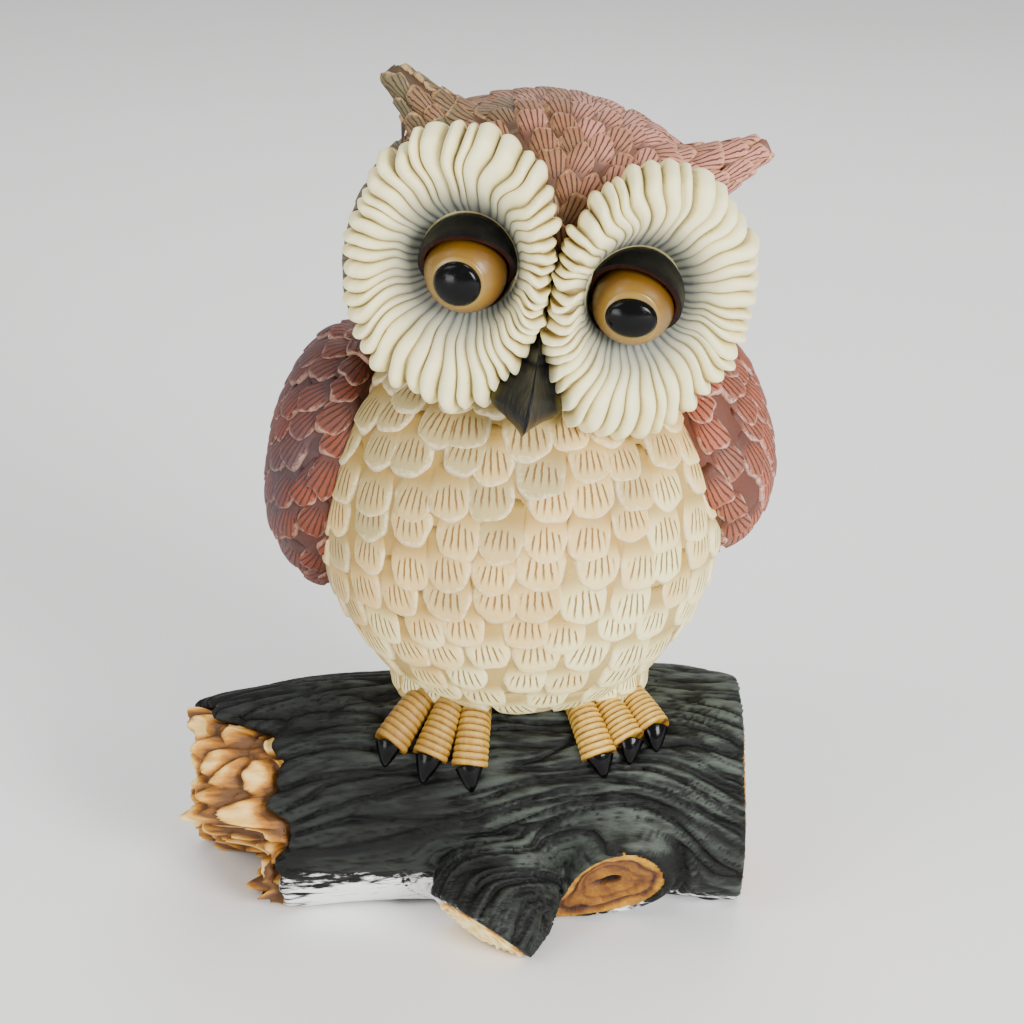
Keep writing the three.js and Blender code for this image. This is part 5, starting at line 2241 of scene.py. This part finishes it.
@dataclass
class Feet:
    """Six scuted toes with talons, and the feathered thighs over them."""

    bench: Bench
    log: Log
    rng: np.random.Generator
    scutes: int = 11
    root_half: float = 6.0
    end_half: float = 7.4
    rise: float = 9.0
    claw_half: float = 5.8

    def build(self) -> None:
        """Builds and dresses both feet."""
        for name, (root, end, talon) in TOES.items():
            self._toe(name, root, end)
            self._talon(name, end, talon)
        for side in Side:
            self._thigh(side)

    def _lay(
        self,
        first: tuple[float, float],
        last: tuple[float, float],
        share: Array,
        aside: Array,
        height: Array,
    ) -> Array:
        """Lays points along a line over the log, given how far along, aside and above the bark.

        Args:
            first: One end of the line: its place along the log and its angle in degrees.
            last: The other end.
            share: How far along it.
            aside: How far to its side.
            height: How far over the bark.

        Returns:
            The places over the log.
        """
        run = np.array([last[0] - first[0], math.radians(last[1] - first[1]) * self.log.radius])
        length = float(np.hypot(*run))
        x = first[0] + run[0] * share + aside * run[1] / length
        degrees = first[1] + (last[1] - first[1]) * share
        turn = np.radians(degrees) - aside * run[0] / length / self.log.radius
        return self.log.over(x, turn, height)

    def _toe(self, name: str, root: tuple[float, float], end: tuple[float, float]) -> None:
        """A toe of overlapping scutes with a blunt end.

        Args:
            name: The toe's name.
            root: Where it starts.
            end: Where it ends.
        """
        toe = start(f"scuted_toe_{name}", "uv_sphere", segments=36, ring_count=120, radius=1)
        down, turn = ball_grid(toe)
        cap = 0.06
        share = np.clip((down - cap) / (1 - 2 * cap), 0, 1)
        reach = np.minimum(1, np.minimum(down, 1 - down) / cap)
        reach = np.sqrt(np.clip(1 - (1 - reach) ** 2, 0, 1))
        phase = (share * self.scutes + 0.12 * np.cos(2 * turn)) % 1.0
        scute = smooth(phase, 0.0, 0.28) * (1 - 0.55 * smooth(phase, 0.5, 1.0))
        top = np.clip(np.sin(turn), 0, 1)
        half = (self.root_half + (self.end_half - self.root_half) * share) * (0.95 + 0.06 * scute)
        crown = self.rise * (0.94 + 0.1 * scute * top)
        aside = np.cos(turn) * half * reach
        upward = np.where(np.sin(turn) > 0, np.abs(np.sin(turn)) ** 0.8, 0.25 * np.sin(turn)) * reach
        points = self._lay(root, end, share, aside, upward * crown + 0.4)
        self.bench.place(toe, points)
        tidy_faces(toe)
        fine = clouds(points, 3, 2.0)
        mark(toe, "crest", np.clip(scute * 0.85 + 0.15 * fine, 0, 1))
        self.bench.hand_in(toe, ToePaint("toe_paint"), "toe_paint", f"toe_{name}")

    def _talon(self, name: str, end: tuple[float, float], tip: tuple[float, float]) -> None:
        """A curved talon, thick at the toe and hooked down to the bark.

        Args:
            name: The toe's name.
            end: Where the toe ends.
            tip: Where the talon ends.
        """
        talon = start(f"curved_talon_{name}", "uv_sphere", segments=28, ring_count=40, radius=1)
        down, turn = ball_grid(talon)
        share = down * 1.05 - 0.05
        half = self.claw_half * np.clip(1 - share, 0, 1) ** 0.7 * smooth(down, 0.0, 0.06) + 0.02
        arch = 4.6 * (1 - share) ** 0.6 + 3.0 * share * (1 - share)
        aside = np.cos(turn) * half
        height = arch * 0.62 + np.sin(turn) * half * 0.85 + 0.2
        points = self._lay(end, tip, share, aside, np.maximum(height, 0.1))
        self.bench.place(talon, points)
        tidy_faces(talon)
        self.bench.hand_in(talon, GlossPaint("talon_gloss"), "talon_gloss", f"talon_{name}")

    def _thigh(self, side: Side) -> None:
        """A short feathered thigh between body and toes.

        Args:
            side: Which leg.
        """
        form = start("thigh_form", "uv_sphere", segments=48, ring_count=32, radius=1)
        middle = np.array([3 + side.value * 33, -4.0, 98.0])
        put_points(form, points_of(form) * np.array([19, 20, 19]) + middle)
        skin = Skin.of(form)
        feather = Feather(width=12, length=17, shown=8.5, rise=1.6, thick=1.2, columns=6)
        seeds = skin.rows(feather, middle, np.array([0.0, 0.0, 1.0]), (60, 165), self.rng)
        coat = Coat(self.rng)
        coat.under(skin.points, skin.faces)
        coat.lay(skin, seeds, feather)
        thing = coat.mesh(f"thigh_plumage_{side.word}", self.bench)
        self.bench.hand_in(thing, CREAM, "cream_feather_paint", f"thigh_{side.word}")


# ------------------------------------------------------------------ hardware and studio


@dataclass
class Hardware:
    """The hidden and underneath parts, which keep their CAD shapes."""

    nodes: dict[str, bpy.types.Object]
    resin: Finish = PlainStock("bare_resin", rgb(222, 216, 202), rgb(200, 192, 176), 240, 0.0004, 0.8)
    felt: Finish = PlainStock("felt", rgb(34, 34, 36), rgb(14, 14, 15), 1400, 0.0008, 0.95)
    steel: Finish = PlainStock(
        "steel", rgb(190, 193, 196), rgb(150, 154, 158), 900, 0.0001, 0.32, 1.0, (1.0, 1.0, 0.05)
    )

    def dress(self) -> None:
        """Gives each of these nodes its finish."""
        for name, node in self.nodes.items():
            finish = self._finish_for(name)
            if finish is not None:
                node.data.materials.clear()
                node.data.materials.append(finish.material())
                LOGGER.info("%s: dressed as %s", name, finish.name)

    def _finish_for(self, name: str) -> Finish | None:
        """The finish of a node that stays in view.

        Args:
            name: A fastener's name.

        Returns:
            Its finish, or nothing where it has none of its own.
        """
        if name.startswith("felt_pad"):
            return self.felt
        if name in ("base_plate", "neck_dowel"):
            return self.resin
        return self.steel if name.startswith("leg_pin") else None


@dataclass
class Studio:
    """A pale floor, soft lights and the camera."""

    target: Vector
    elevation: float = 22.0
    distance: float = 0.967
    lens: float = 85.0

    def build(self) -> None:
        """Sets up the floor, the lights and the camera."""
        floor = start("floor", "plane", size=6)
        stock = PlainStock("studio_floor", rgb(250, 250, 249), rgb(246, 246, 245), 2)
        floor.data.materials.append(stock.material())
        world = bpy.data.worlds.new("studio")
        bpy.context.scene.world = world
        world.use_nodes = True
        background = world.node_tree.nodes["Background"]
        background.inputs["Color"].default_value = (1, 1, 1, 1)
        background.inputs["Strength"].default_value = 0.7
        self._light("key", (1.1, -1.4, 0.8), 54, 0.7)
        self._light("low", (-0.9, -1.1, 0.12), 8.5, 0.5)
        self._light("fill", (-1.2, -0.9, 1.3), 12, 0.9)
        self._light("back", (0.2, 1.2, 1.4), 14, 1.0)
        self._camera()

    def _light(self, name: str, place: tuple[float, float, float], power: float, size: float) -> None:
        """Adds a soft square light that looks at the statue.

        Args:
            name: The light's name.
            place: Where it stands, in metres.
            power: Its power, in watts.
            size: Its width, in metres.
        """
        data = bpy.data.lights.new(name, "AREA")
        data.energy = power
        data.size = size
        light = bpy.data.objects.new(name, data)
        bpy.context.collection.objects.link(light)
        light.location = place
        light.rotation_euler = (self.target - Vector(place)).to_track_quat("-Z", "Y").to_euler()

    def _camera(self) -> None:
        """Adds the camera, above and in front of the owl."""
        data = bpy.data.cameras.new("camera")
        data.lens = self.lens
        data.sensor_width = 36
        data.clip_start = 0.01
        camera = bpy.data.objects.new("camera", data)
        bpy.context.collection.objects.link(camera)
        lift = math.radians(self.elevation)
        camera.location = self.target + Vector((0, -math.cos(lift), math.sin(lift))) * self.distance
        camera.rotation_euler = (math.pi / 2 - lift, 0, 0)
        bpy.context.scene.camera = camera


def main() -> None:
    """Loads the frame, builds every sub-assembly in order and logs each piece's face count."""
    logging.basicConfig(level=logging.INFO, format="%(message)s")
    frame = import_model()
    bpy.ops.object.select_all(action="DESELECT")
    rng = np.random.default_rng(20)
    bench = Bench.on_frame()
    log = Log(bench)
    log.build()
    Body(bench, rng).build()
    Head(bench, rng).build()
    Feet(bench, log, rng).build()
    Hardware(frame["nodes"]).dress()
    Studio(bench.origin + Vector((0, 0, 164)) * MM).build()


if __name__ == "__main__":
    main()
